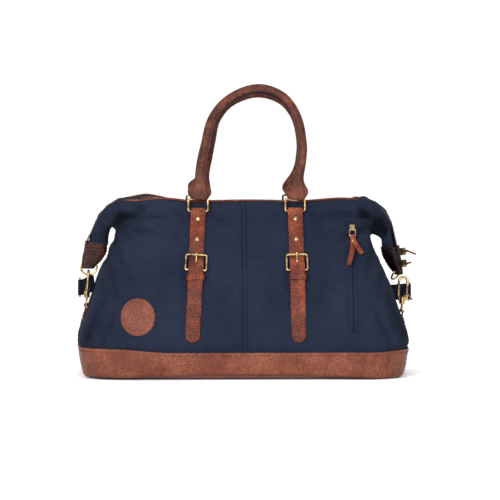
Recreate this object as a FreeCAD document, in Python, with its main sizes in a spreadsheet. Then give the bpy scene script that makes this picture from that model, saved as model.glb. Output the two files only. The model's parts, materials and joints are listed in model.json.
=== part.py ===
"""Weekender bag: canvas shell on a leather base, rolled handles on buckled straps, and a
zip top whose ends fold down as wings and clip to the sides.

Frame: +X to the viewer's right, front panel towards -Y, +Z up, origin at the centre of the
base's underside. Millimetres.
"""
import FreeCAD
import Part
import Sketcher
import math
import os

from FreeCAD import Placement, Rotation, Vector

DIMENSIONS = {
    "base_half_length": 247.5,
    "base_half_depth": 120.3,
    "base_foot_inset": 8.5,
    "base_corner": 60,
    "band_height": 41,
    "base_leather": 2.5,
    "base_floor": 3,
    "board_thickness": 2,
    "panel_half_depth": 119.5,
    "profile_radius": 406,
    "profile_height": 14,
    "top_height": 262,
    "armpit_height": 224,
    "panel_half_width": 172,
    "canvas": 1.6,
    "lining": 0.8,
    "lining_gap": 4,
    "leather": 2.8,
    "wire": 3.2,
    "strap_width": 22,
    "ring_width": 32.4,
    "ring_rise": 21.5,
    "ring_corner": 2.6,
    "ring_lift": 5,
    "ring_height": 245,
    "buckle_width": 34,
    "buckle_rise": 27.2,
    "buckle_height": 172,
    "buckle_lift": 5.3,
    "prong_wire": 2.6,
    "prong_length": 26,
    "rivet_width": 7,
    "handle_width": 13.5,
    "handle_bore": 9.6,
    "core_width": 9,
    "patch_width": 56,
    "piping_width": 5,
    "dee_width": 27,
    "dee_rise": 17.5,
    "dee_wire": 3,
    "hook_wire": 4,
    "side_ring_rise": 30.2,
    "side_ring_width": 13,
    "side_ring_wire": 2.6,
    "slider_length": 11,
    "slider_width": 8,
}

# Height, half length and corner radius of the canvas shell's level sections.
SECTIONS = [(41, 247, 60), (75, 240, 55), (125, 222, 42), (175, 202, 28), (210, 190, 17), (262, 188, 14)]
# The pocket zip stands this far right of the middle of the front panel.
POCKET_X = 161.5
# Strap centres across the panel, at the ring and at the strap's tip.
STRAPS = {"left": (-68, -79), "right": (77, 80)}
# Strap centreline from its tip: height on the panel and lift off it.
STRAP_LINE = [(56, 1.9), (80, 1.9), (104, 1.9), (124, 4), (140, 5.6), (156, 10.8), (165, 10.8),
              (181, 2), (188, 2.1), (200, 4.8), (220, 4.8), (238, 4.8), (244, 7.9), (246, 8.2)]
STRAP_TAIL = [(197, 1.8), (220, 1.8), (243, 1.8)]
HEEL_TAB_LINE = [(129, 1.4), (145, 1.4), (161, 1.4)]
RIVET_HEIGHTS = (205, 234)

# Handle centreline across (x) and up (z), from the left foot to the right foot.
HANDLE_LINE = [(-66.5, 290), (-64, 318), (-57.5, 349), (-45, 386), (-18, 415), (22, 429),
               (58, 418), (80, 389), (88.5, 350), (87, 318), (79, 290)]
HANDLE_TOP_Y = -9
# Ring planes lean a little inwards from upright, in degrees from level.
RING_LEAN = 75

# Wing stations from the shoulder down: distance out and height of the centre, heading (out, up),
# half width, half depth and twist in degrees. The canvas wing comes first, then its leather end.
WINGS = {
    "left": [((172.6, 243), (1, 0), 17.5, 42, 0), ((199, 238), (0.8, -0.6), 14, 33, 0),
             ((211, 225), (0.4, -0.92), 13, 24, 0), ((217, 204.5), (0.22, -0.97), 15, 13, 0)],
    "right": [((172.6, 243), (1, 0), 17.5, 42, 0), ((199, 237), (0.8, -0.6), 14, 33, 0),
              ((212, 223), (0.45, -0.89), 13, 24, 8), ((222, 194), (0.24, -0.97), 14.5, 12, 30)],
}
WING_ENDS = {
    "left": [((217.4, 203), (0.22, -0.97), 15.5, 8, 0), ((223.5, 181), (0.27, -0.96), 14.5, 6.5, 0),
             ((230.5, 160.5), (0.2, -0.98), 9.6, 4.2, 0)],
    "right": [((222.4, 192.5), (0.24, -0.97), 15, 8, 32), ((228, 172), (0.2, -0.98), 13.5, 6.5, 45),
              ((233.5, 150), (0.15, -0.99), 9.6, 4.2, 60)],
}
# D-ring turn about the vertical and tilt away from the bag, in degrees.
DEES = {"left": (0, 0), "right": (60, 35)}
# Swivel eye's bar: distance out, y and height; and the hook's tilt about y and turn, in degrees.
HOOKS = {"left": ((234.6, 0, 104), -4.0, 90), "right": ((238.6, -3, 93.5), 3.4, 0)}
# Webbing loop: height, distance out of its ring bar.
LOOPS = {"left": (128, 243.5), "right": (121, 252)}
LOOP_Y = 33
HANDS = {"left": -1, "right": 1}

doc = FreeCAD.newDocument("WeekenderBag")
sheet = doc.addObject("Spreadsheet::Sheet", "Dimensions")
for row, (alias, number) in enumerate(DIMENSIONS.items(), start=1):
    sheet.set(f"A{row}", alias)
    sheet.set(f"B{row}", str(number))
    sheet.setAlias(f"B{row}", alias)
doc.recompute()

NODES = []


def size(alias):
    """A driving dimension, read from the sheet."""
    return float(sheet.get(alias))


def kept(feature, label, placement=None):
    """Names a finished sub-part, places it and lists it for export."""
    feature.Label = label
    if placement is not None:
        feature.Placement = placement
    NODES.append(feature)
    return feature


def solid_part(label, shape, placement=None):
    """A sub-part whose shape comes from Part's own functions."""
    feature = doc.addObject("Part::Feature", label)
    feature.Shape = shape
    return kept(feature, label, placement)


# ---------------------------------------------------------------- sketched bodies

def new_body(label):
    return doc.addObject("PartDesign::Body", label)


def new_sketch(body, name, role="XY_Plane", height="0"):
    sketch = body.newObject("Sketcher::SketchObject", name)
    plane = next(item for item in body.Origin.OriginFeatures if item.Role == role)
    sketch.AttachmentSupport = [(plane, "")]
    sketch.MapMode = "FlatFace"
    sketch.setExpression("AttachmentOffset.Base.z", height)
    return sketch


def rounded_rectangle(sketch, length, width, corner):
    """A centred rectangle with rounded corners, its three sizes bound to expressions."""
    half, side, radius = 40.0, 20.0, 5.0
    quarter = math.pi / 2
    corners = [(half, side, 0), (-half, side, 1), (-half, -side, 2), (half, -side, 3)]
    lines = [((half - radius, side), (radius - half, side)), ((-half, side - radius), (-half, radius - side)),
             ((radius - half, -side), (half - radius, -side)), ((half, radius - side), (half, side - radius))]
    for start, end in lines:
        sketch.addGeometry(Part.LineSegment(Vector(*start, 0), Vector(*end, 0)), False)
    for x, y, turn in corners:
        centre = Vector(x - math.copysign(radius, x), y - math.copysign(radius, y), 0)
        circle = Part.Circle(centre, Vector(0, 0, 1), radius)
        sketch.addGeometry(Part.ArcOfCircle(circle, turn * quarter, (turn + 1) * quarter), False)
    for index in range(4):
        arc = 4 + index
        sketch.addConstraint(Sketcher.Constraint("Tangent", index, 1, arc, 2))
        sketch.addConstraint(Sketcher.Constraint("Tangent", (index - 1) % 4, 2, arc, 1))
    for index in (0, 2):
        sketch.addConstraint(Sketcher.Constraint("Horizontal", index))
    for index in (1, 3):
        sketch.addConstraint(Sketcher.Constraint("Vertical", index))
    for index in (5, 6, 7):
        sketch.addConstraint(Sketcher.Constraint("Equal", 4, index))
    sketch.addConstraint(Sketcher.Constraint("Symmetric", 4, 3, 6, 3, -1, 1))
    radius_bound = sketch.addConstraint(Sketcher.Constraint("Radius", 4, radius))
    across = sketch.addConstraint(Sketcher.Constraint("DistanceX", 1, 1, 3, 1, 2 * half))
    along = sketch.addConstraint(Sketcher.Constraint("DistanceY", 2, 1, 0, 1, 2 * side))
    sketch.setExpression(f"Constraints[{radius_bound}]", corner)
    sketch.setExpression(f"Constraints[{across}]", length)
    sketch.setExpression(f"Constraints[{along}]", width)


def loft(body, kind, name, sections):
    feature = body.newObject(f"PartDesign::{kind}", name)
    feature.Profile = sections[0]
    feature.Sections = sections[1:]
    feature.Ruled = True
    return feature


def base_tray():
    """Leather band and floor: a rounded tray that widens a little towards its rim."""
    body = new_body("base_leather")
    length = "2*Dimensions.base_half_length"
    depth = "2*Dimensions.base_half_depth"
    inset = "2*Dimensions.base_foot_inset"
    wall = "2*Dimensions.base_leather"
    outer = []
    for name, height, less in (("foot", "0", f" - {inset}"), ("rim", "Dimensions.band_height", "")):
        sketch = new_sketch(body, name, height=height)
        rounded_rectangle(sketch, length + less, depth + less, "Dimensions.base_corner")
        outer.append(sketch)
    loft(body, "AdditiveLoft", "tray_solid", outer)
    inner = []
    for name, height, less in (("floor", "Dimensions.base_floor", f" - {inset}"),
                               ("mouth", "Dimensions.band_height", "")):
        sketch = new_sketch(body, name, height=height)
        rounded_rectangle(sketch, f"{length}{less} - {wall}", f"{depth}{less} - {wall}",
                          "Dimensions.base_corner - Dimensions.base_leather")
        inner.append(sketch)
    loft(body, "SubtractiveLoft", "tray_hollow", inner)
    kept(body, "base_leather")


def padded_rectangle(label, length, width, corner, thickness, placement=None, height="0"):
    body = new_body(label)
    sketch = new_sketch(body, "outline", height=height)
    rounded_rectangle(sketch, length, width, corner)
    pad = body.newObject("PartDesign::Pad", "thickness")
    pad.Profile = sketch
    pad.setExpression("Length", thickness)
    return kept(body, label, placement)


def wire_loop(label, width, rise, wire, placement):
    """A rectangular ring bent from round wire; width and rise are outside sizes."""
    body = new_body(label)
    path = new_sketch(body, "path")
    rounded_rectangle(path, f"{width} - {wire}", f"{rise} - {wire}", "Dimensions.ring_corner")
    profile = new_sketch(body, "section", role="YZ_Plane")
    centre = profile.addGeometry(Part.Circle(Vector(10, 0, 0), Vector(0, 0, 1), 1.5), False)
    radius = profile.addConstraint(Sketcher.Constraint("Radius", centre, 1.5))
    offset = profile.addConstraint(Sketcher.Constraint("DistanceX", -1, 1, centre, 3, 10.0))
    profile.addConstraint(Sketcher.Constraint("PointOnObject", centre, 3, -1))
    profile.setExpression(f"Constraints[{radius}]", f"{wire}/2")
    profile.setExpression(f"Constraints[{offset}]", f"({rise} - {wire})/2")
    pipe = body.newObject("PartDesign::AdditivePipe", "wire")
    pipe.Profile = profile
    pipe.Spine = (path, [f"Edge{index}" for index in range(1, 9)])
    body.Label = label
    body.Placement = placement
    return body


# ---------------------------------------------------------------- places on the panels

def panel_angle(height):
    return math.asin((height - size("profile_height")) / size("profile_radius"))


def profile_offset():
    """How far the panels' centre of curvature lies behind the bag's middle plane."""
    return size("profile_radius") * math.cos(panel_angle(size("band_height"))) - size("panel_half_depth")


def half_depth(height):
    return size("profile_radius") * math.cos(panel_angle(height)) - profile_offset()


def on_panel(side, across, height, lift, turn=0.0):
    """Frame on a panel: x across, y up along the panel, z out of it."""
    angle = panel_angle(height)
    reach = size("profile_radius") + lift
    sign = 1 if side == "front" else -1
    base = Vector(sign * across, profile_offset() - reach * math.cos(angle),
                  size("profile_height") + reach * math.sin(angle))
    lean = Rotation(Vector(1, 0, 0), 90 - math.degrees(angle))
    local = Placement(base, lean * Rotation(Vector(0, 0, 1), sign * turn))
    if side == "front":
        return local
    return Placement(Vector(0, 0, 0), Rotation(Vector(0, 0, 1), 180)) * local


def lay(height, lift, middle):
    """Point of the panel's profile in the local frame whose origin is at the middle height."""
    turn = panel_angle(height) - panel_angle(middle)
    reach = size("profile_radius") + lift
    return Vector(0, reach * math.sin(turn), reach * math.cos(turn) - size("profile_radius"))


def panel_strip(x_from, x_to, low, high, inner, outer):
    """Part of the front panel's own curve, between two heights and two lifts."""
    def corner(height, lift):
        angle = panel_angle(height)
        reach = size("profile_radius") + lift
        return Vector(x_from, profile_offset() - reach * math.cos(angle),
                      size("profile_height") + reach * math.sin(angle))

    middle = (low + high) / 2
    edges = [Part.Arc(corner(low, outer), corner(middle, outer), corner(high, outer)).toShape(),
             Part.makeLine(corner(high, outer), corner(high, inner)),
             Part.Arc(corner(high, inner), corner(middle, inner), corner(low, inner)).toShape(),
             Part.makeLine(corner(low, inner), corner(low, outer))]
    return Part.Face(Part.Wire(edges)).extrude(Vector(x_to - x_from, 0, 0))


# ---------------------------------------------------------------- general shapes

def ribbon(points, thickness, width):
    """A flat band that follows points in the local y-z plane, centred across x."""
    sides = ([], [])
    for index, point in enumerate(points):
        before = (point - points[index - 1]).normalize() if index else None
        after = (points[index + 1] - point).normalize() if index + 1 < len(points) else None
        if before and after:
            along = (before + after).normalize()
            reach = thickness / 2 / max(0.5, along.dot(after))
        else:
            along = before or after
            reach = thickness / 2
        across = Vector(0, -along.z, along.y)
        sides[0].append(point + across * reach)
        sides[1].append(point - across * reach)
    outline = sides[0] + sides[1][::-1] + sides[0][:1]
    face = Part.Face(Part.makePolygon(outline))
    face.translate(Vector(-width / 2, 0, 0))
    return face.extrude(Vector(width, 0, 0))


def rounded_path(points, closed=False, radius=None):
    """Straight runs through the points, joined by tangent arcs."""
    count = len(points)
    bends = []
    for index in range(count):
        if not closed and index in (0, count - 1):
            bends.append((points[index], points[index], points[index]))
            continue
        here = points[index]
        back = points[index - 1] - here
        onward = points[(index + 1) % count] - here
        half_turn = (math.pi - back.getAngle(onward)) / 2
        trim = 0.45 * min(back.Length, onward.Length)
        if radius is not None:
            trim = min(trim, radius * math.tan(half_turn))
        bend = trim / math.tan(half_turn)
        bisector = (Vector(back).normalize() + Vector(onward).normalize()).normalize()
        middle = here + bisector * (bend / math.cos(half_turn) - bend)
        ahead = Vector(onward).normalize() * trim
        bends.append((here + Vector(back).normalize() * trim, middle, here + ahead))
    edges = []
    for index in range(count):
        start, middle, end = bends[index]
        if (end - start).Length > 1e-6:
            edges.append(Part.Arc(start, middle, end).toShape())
        if closed or index + 1 < count:
            following = bends[(index + 1) % count][0]
            edges.append(Part.makeLine(end, following))
    return Part.Wire(edges)


def tube(path, radius):
    """Round solid along a path of tangent runs and arcs."""
    first = path.Edges[0]
    start = first.valueAt(first.FirstParameter)
    heading = first.tangentAt(first.FirstParameter)
    section = Part.Wire([Part.makeCircle(radius, start, heading)])
    return path.makePipeShell([section], True, True)


def rod(start, end, radius):
    heading = end - start
    return Part.makeCylinder(radius, heading.Length, start, heading)


def block(x, y, z):
    """Box between pairs of limits."""
    return Part.makeBox(x[1] - x[0], y[1] - y[0], z[1] - z[0], Vector(x[0], y[0], z[0]))


def level_section(half_length, depth, corner, height):
    """Rounded rectangle round the bag's vertical axis at a height."""
    points = []
    edges = []
    diagonal = corner * math.sqrt(0.5)
    for x, y in ((1, 1), (-1, 1), (-1, -1), (1, -1)):
        centre = Vector(x * (half_length - corner), y * (depth - corner), height)
        ends = [centre + Vector(x * corner, 0, 0), centre + Vector(0, y * corner, 0)]
        if x * y < 0:
            ends.reverse()
        points.append((ends[0], centre + Vector(x * diagonal, y * diagonal, 0), ends[1]))
    for index, (start, middle, end) in enumerate(points):
        edges.append(Part.Arc(start, middle, end).toShape())
        edges.append(Part.makeLine(end, points[(index + 1) % 4][0]))
    return Part.Wire(edges)


def shell_solid(inset):
    """The bag's upper volume, drawn in by an inset."""
    wires = []
    for height, length, corner in SECTIONS:
        radius = corner - min(inset, corner / 2)
        wires.append(level_section(length - inset, half_depth(height) - inset, radius, height))
    return Part.makeLoft(wires, True, False)


# ---------------------------------------------------------------- shell

def canvas_panels():
    shell = shell_solid(0).cut(shell_solid(size("canvas")))
    edge = size("panel_half_width")
    top = size("top_height") + 1
    armpit = size("armpit_height")
    seam = 0.15
    slot = panel_strip(POCKET_X - 3.6, POCKET_X + 3.6, 73, 230, -4, 4)
    spans = {"left": (-edge, -seam), "right": (seam, edge)}
    for side, depth in (("front", (-200, 0)), ("back", (0, 200))):
        for hand, across in spans.items():
            piece = shell.common(block(across, depth, (0, top)))
            if (side, hand) == ("front", "right"):
                piece = piece.cut(slot)
            solid_part(f"{side}_canvas_{hand}", piece)
    for hand, across in (("left", (-300, -edge - seam)), ("right", (edge + seam, 300))):
        solid_part(f"gusset_{hand}", shell.common(block(across, (-200, 200), (0, armpit))))


def lining():
    gap = size("lining_gap")
    thickness = size("lining")
    volumes = []
    for inset, floor in ((gap, 6), (gap + thickness, 6 + thickness)):
        foot = level_section(size("base_half_length") - 9.5 - inset, size("base_half_depth") - 9.5 - inset,
                             57 - inset, floor)
        height, length, corner = SECTIONS[0]
        rim = level_section(length - inset, half_depth(height) - inset, corner - inset, height)
        volumes.append(Part.makeLoft([foot, rim], True, True).fuse(shell_solid(inset)))
    whole = volumes[0].cut(volumes[1])
    edge = size("panel_half_width") - 0.6
    narrow = block((-edge, edge), (-200, 200), (0, size("top_height") - 4))
    wide = block((-300, 300), (-200, 200), (0, size("armpit_height") - 1))
    solid_part("lining", whole.common(narrow.fuse(wide)))


def wing_shape(hand, stations):
    """Loft through rounded rectangles, each square to the wing's heading in the x-z plane."""
    sign = HANDS[hand]
    wires = []
    for centre, heading, half_width, depth, twist in stations:
        origin = Vector(sign * centre[0], 0, centre[1])
        along = Vector(sign * heading[0], 0, heading[1]).normalize()
        turn = Rotation(along, twist)
        u = turn.multVec(Vector(along.z, 0, -along.x)) * half_width
        v = turn.multVec(Vector(0, depth, 0))
        points = [origin + u * a + v * b for a, b in ((1, 1), (-1, 1), (-1, -1), (1, -1))]
        wires.append(rounded_path(points, closed=True, radius=0.6 * min(half_width, depth)))
    return Part.makeLoft(wires, True, False)


def dee_frame(hand):
    """Frame of a wing's D-ring: origin on its bar, x along the bar, y down into the ring."""
    out, up = WING_ENDS[hand][-1][0]
    turn, tilt = DEES[hand]
    swing = Rotation(Vector(0, 0, 1), turn) * Rotation(Vector(1, 0, 0), -90 + tilt)
    return Placement(Vector(HANDS[hand] * out, 0, up + 3.4), swing)


def dee_path():
    """A straight bar, two small corners and a half circle."""
    wide = (size("dee_width") - size("dee_wire")) / 2
    deep = size("dee_rise") - size("dee_wire")
    corner = deep - wide
    slope = corner * math.sqrt(0.5)
    inner = wide - corner
    edges = [Part.makeLine(Vector(-inner, 0, 0), Vector(inner, 0, 0)),
             Part.Arc(Vector(inner, 0, 0), Vector(inner + slope, corner - slope, 0),
                      Vector(wide, corner, 0)).toShape(),
             Part.Arc(Vector(wide, corner, 0), Vector(0, deep, 0), Vector(-wide, corner, 0)).toShape(),
             Part.Arc(Vector(-wide, corner, 0), Vector(-inner - slope, corner - slope, 0),
                      Vector(-inner, 0, 0)).toShape()]
    return Part.Wire(edges)


def wings():
    """Folded wings, their leather ends and the D-rings that the ends carry."""
    wire = size("dee_wire")
    for hand in HANDS:
        solid_part(f"wing_{hand}", wing_shape(hand, WINGS[hand]))
        frame = dee_frame(hand)
        cutters = [rod(Vector(-30, 0, 0), Vector(30, 0, 0), wire / 2 + 0.06)]
        for side in (-1, 1):
            cutters.append(block(sorted((side * 9.2, side * 40)), (-2.4, 20), (-20, 20)))
        end = wing_shape(hand, WING_ENDS[hand])
        for cutter in cutters:
            cutter.Placement = frame
            end = end.cut(cutter)
        solid_part(f"wing_end_{hand}", end)
        solid_part(f"wing_dee_{hand}", tube(dee_path(), wire / 2), frame)


# ---------------------------------------------------------------- snap hooks and side loops

def hook_frame(hand):
    """Frame of a snap hook: origin on the swivel eye's bar, y up along the hook."""
    (out, y, up), tilt, turn = HOOKS[hand]
    sign = HANDS[hand]
    lean = Rotation(Vector(0, 1, 0), tilt if sign > 0 else -tilt)
    upright = Rotation(Vector(0, 0, 1), turn) * Rotation(Vector(1, 0, 0), 90)
    return Placement(Vector(sign * out, y, up), lean * upright)


def swivel_eye():
    """Bent eye, in the plane square to the side tab, with a headed post for the hook."""
    wire = 1.5
    loop = tube(rounded_path([Vector(0, 0, -8.5), Vector(0, 0, 8.5), Vector(0, 9, 5.5), Vector(0, 9, -5.5)],
                             closed=True, radius=2.5), wire)
    post = rod(Vector(0, 8, 0), Vector(0, 21, 0), 1.7)
    head = rod(Vector(0, 20.4, 0), Vector(0, 21.8, 0), 2.5)
    return loop.fuse([post, head])


def hook_body():
    """Barrel on the swivel post, a straight back arm that turns over into the nose, and the gate's pin."""
    wire = size("hook_wire") / 2
    bends = [(-3.6, 16), (-6.3, 24), (-6.3, 51.5), (6.3, 51.5), (6.3, 40.2)]
    arm = tube(rounded_path([Vector(x, y, 0) for x, y in bends], radius=6), wire)
    barrel = rod(Vector(0, 11.4, 0), Vector(0, 20.2, 0), 4.4)
    ears = [block((2.5, 8.2), (16.5, 25), side) for side in ((-3.2, -1.9), (1.9, 3.2))]
    pin = rod(Vector(5.8, 22.8, -3), Vector(5.8, 22.8, 3), 1)
    body = barrel.fuse([arm] + ears)
    body = body.cut(rod(Vector(0, 10, 0), Vector(0, 22, 0), 1.78))
    body = body.cut(rod(Vector(0, 20.2, 0), Vector(0, 26, 0), 2.8))
    return body.fuse(pin)


def hook_trigger():
    """Gate that closes the nose, turning on the hook's pin, with a thumb lever."""
    hub = rod(Vector(5.8, 22.8, -1.7), Vector(5.8, 22.8, 1.7), 2.4)
    gate = rod(Vector(5.9, 23.6, 0), Vector(6.3, 39.7, 0), 1.6)
    lever = rod(Vector(6.2, 28, 0), Vector(13.5, 19.5, 0), 1.2)
    thumb = Part.makeSphere(1.7, Vector(13.8, 19.2, 0))
    return hub.fuse([gate, lever, thumb]).cut(rod(Vector(5.8, 22.8, -5), Vector(5.8, 22.8, 5), 1.05))


def half_length(height):
    """Half length of the shell at a height, from its level sections."""
    low, high = next(pair for pair in zip(SECTIONS, SECTIONS[1:]) if pair[1][0] >= height)
    share = (height - low[0]) / (high[0] - low[0])
    return low[1] + share * (high[1] - low[1])


def hooks():
    tabs = []
    for hand, sign in HANDS.items():
        (out, y, up), tilt, turn = HOOKS[hand]
        frame = hook_frame(hand)
        upright = Placement(frame.Base, frame.Rotation * Rotation(Vector(0, 1, 0), turn if turn else 0))
        solid_part(f"swivel_eye_{hand}", swivel_eye(), upright)
        solid_part(f"snap_hook_{hand}", hook_body(), frame)
        solid_part(f"hook_trigger_{hand}", hook_trigger(), frame)
        foot = 24
        inner = half_length(up - foot) + 1.8
        strip = ribbon([Vector(0, inner, -foot), Vector(0, out - 2.7, 0)], 2.2, 10.4)
        strip = strip.fuse(rod(Vector(-5.2, out, 0), Vector(5.2, out, 0), 3.8))
        strip = strip.cut(rod(Vector(-9, out, 0), Vector(9, out, 0), 1.56))
        strip.Placement = Placement(Vector(0, y, up), Rotation(Vector(0, 0, 1), -90 * sign))
        tabs.append(strip)
    solid_part("hook_tabs", Part.makeCompound(tabs))


def side_loops():
    """Webbing loops that stand out of the gussets, each with a rectangular ring for a shoulder strap."""
    loops = []
    hull = shell_solid(-0.15)
    wire = "Dimensions.side_ring_wire"
    bar = size("side_ring_wire") / 2
    reach = (size("side_ring_width") - size("side_ring_wire")) / 2
    for hand, sign in HANDS.items():
        height, out = LOOPS[hand]
        root = half_length(height) - 6
        layers = [block((root, out), sorted((side * 0.1, side * 1.7)), (-11, 11)) for side in (-1, 1)]
        eye = rod(Vector(out, 0, -11), Vector(out, 0, 11), 3)
        loop = eye.fuse(layers).cut(rod(Vector(out, 0, -20), Vector(out, 0, 20), bar + 0.06))
        if sign < 0:
            loop.rotate(Vector(0, 0, 0), Vector(0, 0, 1), 180)
        loop.translate(Vector(0, LOOP_Y, height))
        loops.append(loop.cut(hull))
        ring = Placement(Vector(sign * out, LOOP_Y + reach, height),
                         Rotation(Vector(0, 1, 0), 90) * Rotation(Vector(0, 0, 1), 0))
        name = f"side_ring_{hand}"
        kept(wire_loop(name, "Dimensions.side_ring_rise", "Dimensions.side_ring_width", wire, ring), name)
    solid_part("side_loops", Part.makeCompound(loops))


# ---------------------------------------------------------------- straps and buckles

def strap_places():
    """Each strap's name, panel and the across position and splay of its line."""
    top, tip = size("ring_height"), STRAP_LINE[0][0]
    for side in ("front", "back"):
        for hand, (at_ring, at_tip) in STRAPS.items():
            splay = math.atan2(at_ring - at_tip, top - tip)
            yield f"{side}_strap_{hand}", side, hand, at_ring, splay


def strap_frame(side, at_ring, splay, height, lift):
    """Frame on a strap's centreline, turned with the strap."""
    across = at_ring - math.tan(splay) * (size("ring_height") - height)
    return on_panel(side, across, height, lift, -math.degrees(splay))


def strap_shape(bar, heading):
    """Leather strap: doubled at the top round the ring's bar, over the buckle's heel bar, round tip."""
    middle = size("buckle_height")
    thick = size("leather")
    half = size("strap_width") / 2
    bore = size("wire") / 2 + 0.2
    front = ribbon([lay(height, lift, middle) for height, lift in STRAP_LINE], thick, 2 * half)
    tail = ribbon([lay(height, lift, middle) for height, lift in STRAP_TAIL], thick, 2 * half)
    fold = rod(bar - heading * half, bar + heading * half, bore + thick)
    whole = front.fuse([tail, fold]).cut(rod(bar - heading * 2 * half, bar + heading * 2 * half, bore))
    tip = lay(STRAP_LINE[0][0], 0, middle)
    outline = block((-half, half), (tip.y + half, bar.y + 20), (-40, 40))
    outline = outline.fuse(rod(Vector(0, tip.y + half, -40), Vector(0, tip.y + half, 40), half))
    slot = block((-2.6, 2.6), (-15, 8), (-20, 30))
    return whole.common(outline).cut(slot)


def heel_tab_shape():
    """Short leather tab stitched to the panel, folded round the buckle's heel bar."""
    middle = size("buckle_height")
    half = 10
    bar = Vector(0, (size("wire") - size("buckle_rise")) / 2, size("buckle_lift"))
    strip = ribbon([lay(height, lift, middle) for height, lift in HEEL_TAB_LINE], 2, 2 * half)
    fold = rod(bar - Vector(half, 0, 0), bar + Vector(half, 0, 0), 3.7)
    tab = strip.fuse(fold).cut(rod(bar - Vector(half, 0, 0), bar + Vector(half, 0, 0), 1.8))
    return tab.cut(block((-2.4, 2.4), (bar.y - 6, bar.y + 8), (-1, 20)))


def keeper_shape():
    """Leather keeper standing over the strap just below the buckle."""
    low, high = -27, -18
    inner, wall = size("strap_width") / 2 + 0.4, 2
    bridge = block((-inner - wall, inner + wall), (low, high), (-0.3, 14.4))
    return bridge.cut(block((-inner, inner), (low - 1, high + 1), (-1, 12.6)))


def prong_shape():
    """Buckle prong: an eye round the heel bar and a rod that rests on the top bar."""
    eye = rod(Vector(-1.6, 0, 0), Vector(1.6, 0, 0), 3.3)
    lean = math.radians(9.5)
    tip = Vector(0, math.cos(lean), math.sin(lean)) * size("prong_length")
    pin = rod(tip * 0.1, tip, size("prong_wire") / 2)
    return eye.fuse(pin).cut(rod(Vector(-3, 0, 0), Vector(3, 0, 0), size("wire") / 2 + 0.06))


def rivet_shape():
    """Domed head on a short shank."""
    radius = size("rivet_width") / 2
    ball = Part.makeSphere(4.2, Vector(0, 0, -2.3))
    return ball.common(Part.makeCylinder(radius, 6))


def straps():
    shapes = {"heel_tabs": [], "strap_keepers": [], "strap_rivets": []}
    buckles = []
    heel = (size("wire") - size("buckle_rise")) / 2
    for name, side, hand, at_ring, splay in strap_places():
        frame = strap_frame(side, at_ring, splay, size("buckle_height"), 0)
        ring_frame = strap_frame(side, at_ring, 0, size("ring_height"), size("ring_lift"))
        back = frame.inverse()
        bar = back.multVec(ring_frame.Base)
        heading = back.Rotation.multVec(Vector(1, 0, 0))
        solid_part(name, strap_shape(bar, heading), frame)
        for group, shape in (("heel_tabs", heel_tab_shape()), ("strap_keepers", keeper_shape())):
            shape.Placement = frame
            shapes[group].append(shape)
        for height in RIVET_HEIGHTS:
            head = rivet_shape()
            head.Placement = strap_frame(side, at_ring, splay, height, 6.25)
            shapes["strap_rivets"].append(head)
        lifted = frame * Placement(Vector(0, 0, size("buckle_lift")), Rotation())
        buckles.append(wire_loop(f"buckle_{side}_{hand}", "Dimensions.buckle_width", "Dimensions.buckle_rise",
                                 "Dimensions.wire", lifted))
        hinge = lifted * Placement(Vector(0, heel, 0), Rotation())
        solid_part(f"{side}_prong_{hand}", prong_shape(), hinge)
        ring_frame.Rotation = Rotation(Vector(0, 0, 1), 0 if side == "front" else 180) * Rotation(
            Vector(1, 0, 0), RING_LEAN)
        rise = (size("ring_rise") - size("wire")) / 2
        label = f"{side}_ring_{hand}"
        raised = ring_frame * Placement(Vector(0, rise, 0), Rotation())
        kept(wire_loop(label, "Dimensions.ring_width", "Dimensions.ring_rise", "Dimensions.wire", raised),
             label)
    for group, pieces in shapes.items():
        solid_part(group, Part.makeCompound(pieces))
    frames = doc.addObject("Part::Compound", "buckle_frames")
    frames.Links = buckles
    kept(frames, "buckle_frames")


# ---------------------------------------------------------------- handles

def upper_bar():
    """Place of the front rings' upper bar, in y and z."""
    low = strap_frame("front", 0, 0, size("ring_height"), size("ring_lift")).Base
    lean = math.radians(RING_LEAN)
    rise = size("ring_rise") - size("wire")
    return Vector(0, low.y + rise * math.cos(lean), low.z + rise * math.sin(lean))


def handle_points(side):
    """Handle centreline: it leans inwards from its rings to its top."""
    bar = upper_bar()
    top = max(z for x, z in HANDLE_LINE)
    shift, drop = (0, 0) if side == "front" else (2, -3)
    points = []
    for x, z in HANDLE_LINE:
        share = (z - bar.z) / (top - bar.z)
        y = bar.y + (HANDLE_TOP_Y - bar.y) * share
        points.append(Vector(x + shift * share, y if side == "front" else -y, z + drop * max(0, share)))
    return points


def handle_end(foot, bar_x, bar):
    """Flared leather end: two layers round the ring's bar, wide lobes, then a taper into the roll."""
    half = 12.3
    wire = size("wire") / 2
    start = Vector(bar_x, bar.y, bar.z)
    up = Vector(0, foot.y - start.y, foot.z - start.z)
    skew = (foot.x - start.x) / up.Length
    frame = Placement(start, Rotation(Vector(1, 0, 0), math.degrees(math.atan2(up.z, up.y))))
    outline = [(-half, 0), (-half, 5), (-18, 14), (-16.5, 23), (-6.7, 42), (6.7, 42), (16.5, 23), (18, 14),
               (half, 5), (half, 0), (-half, 0)]
    points = [Vector(x + skew * y, y, -3.1) for x, y in outline]
    leaf = Part.Face(Part.makePolygon(points)).extrude(Vector(0, 0, 6.2))
    fold = rod(Vector(-half, 0, 0), Vector(half, 0, 0), wire + 0.2 + size("leather"))
    leaf = leaf.fuse(fold).cut(rod(Vector(-20, 0, 0), Vector(20, 0, 0), wire + 0.06))
    for side in (-1, 1):
        leaf = leaf.cut(block(sorted((side * half, side * 25)), (-6, 4.6), (-5, 5)))
    leaf.Placement = frame
    return leaf


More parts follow.
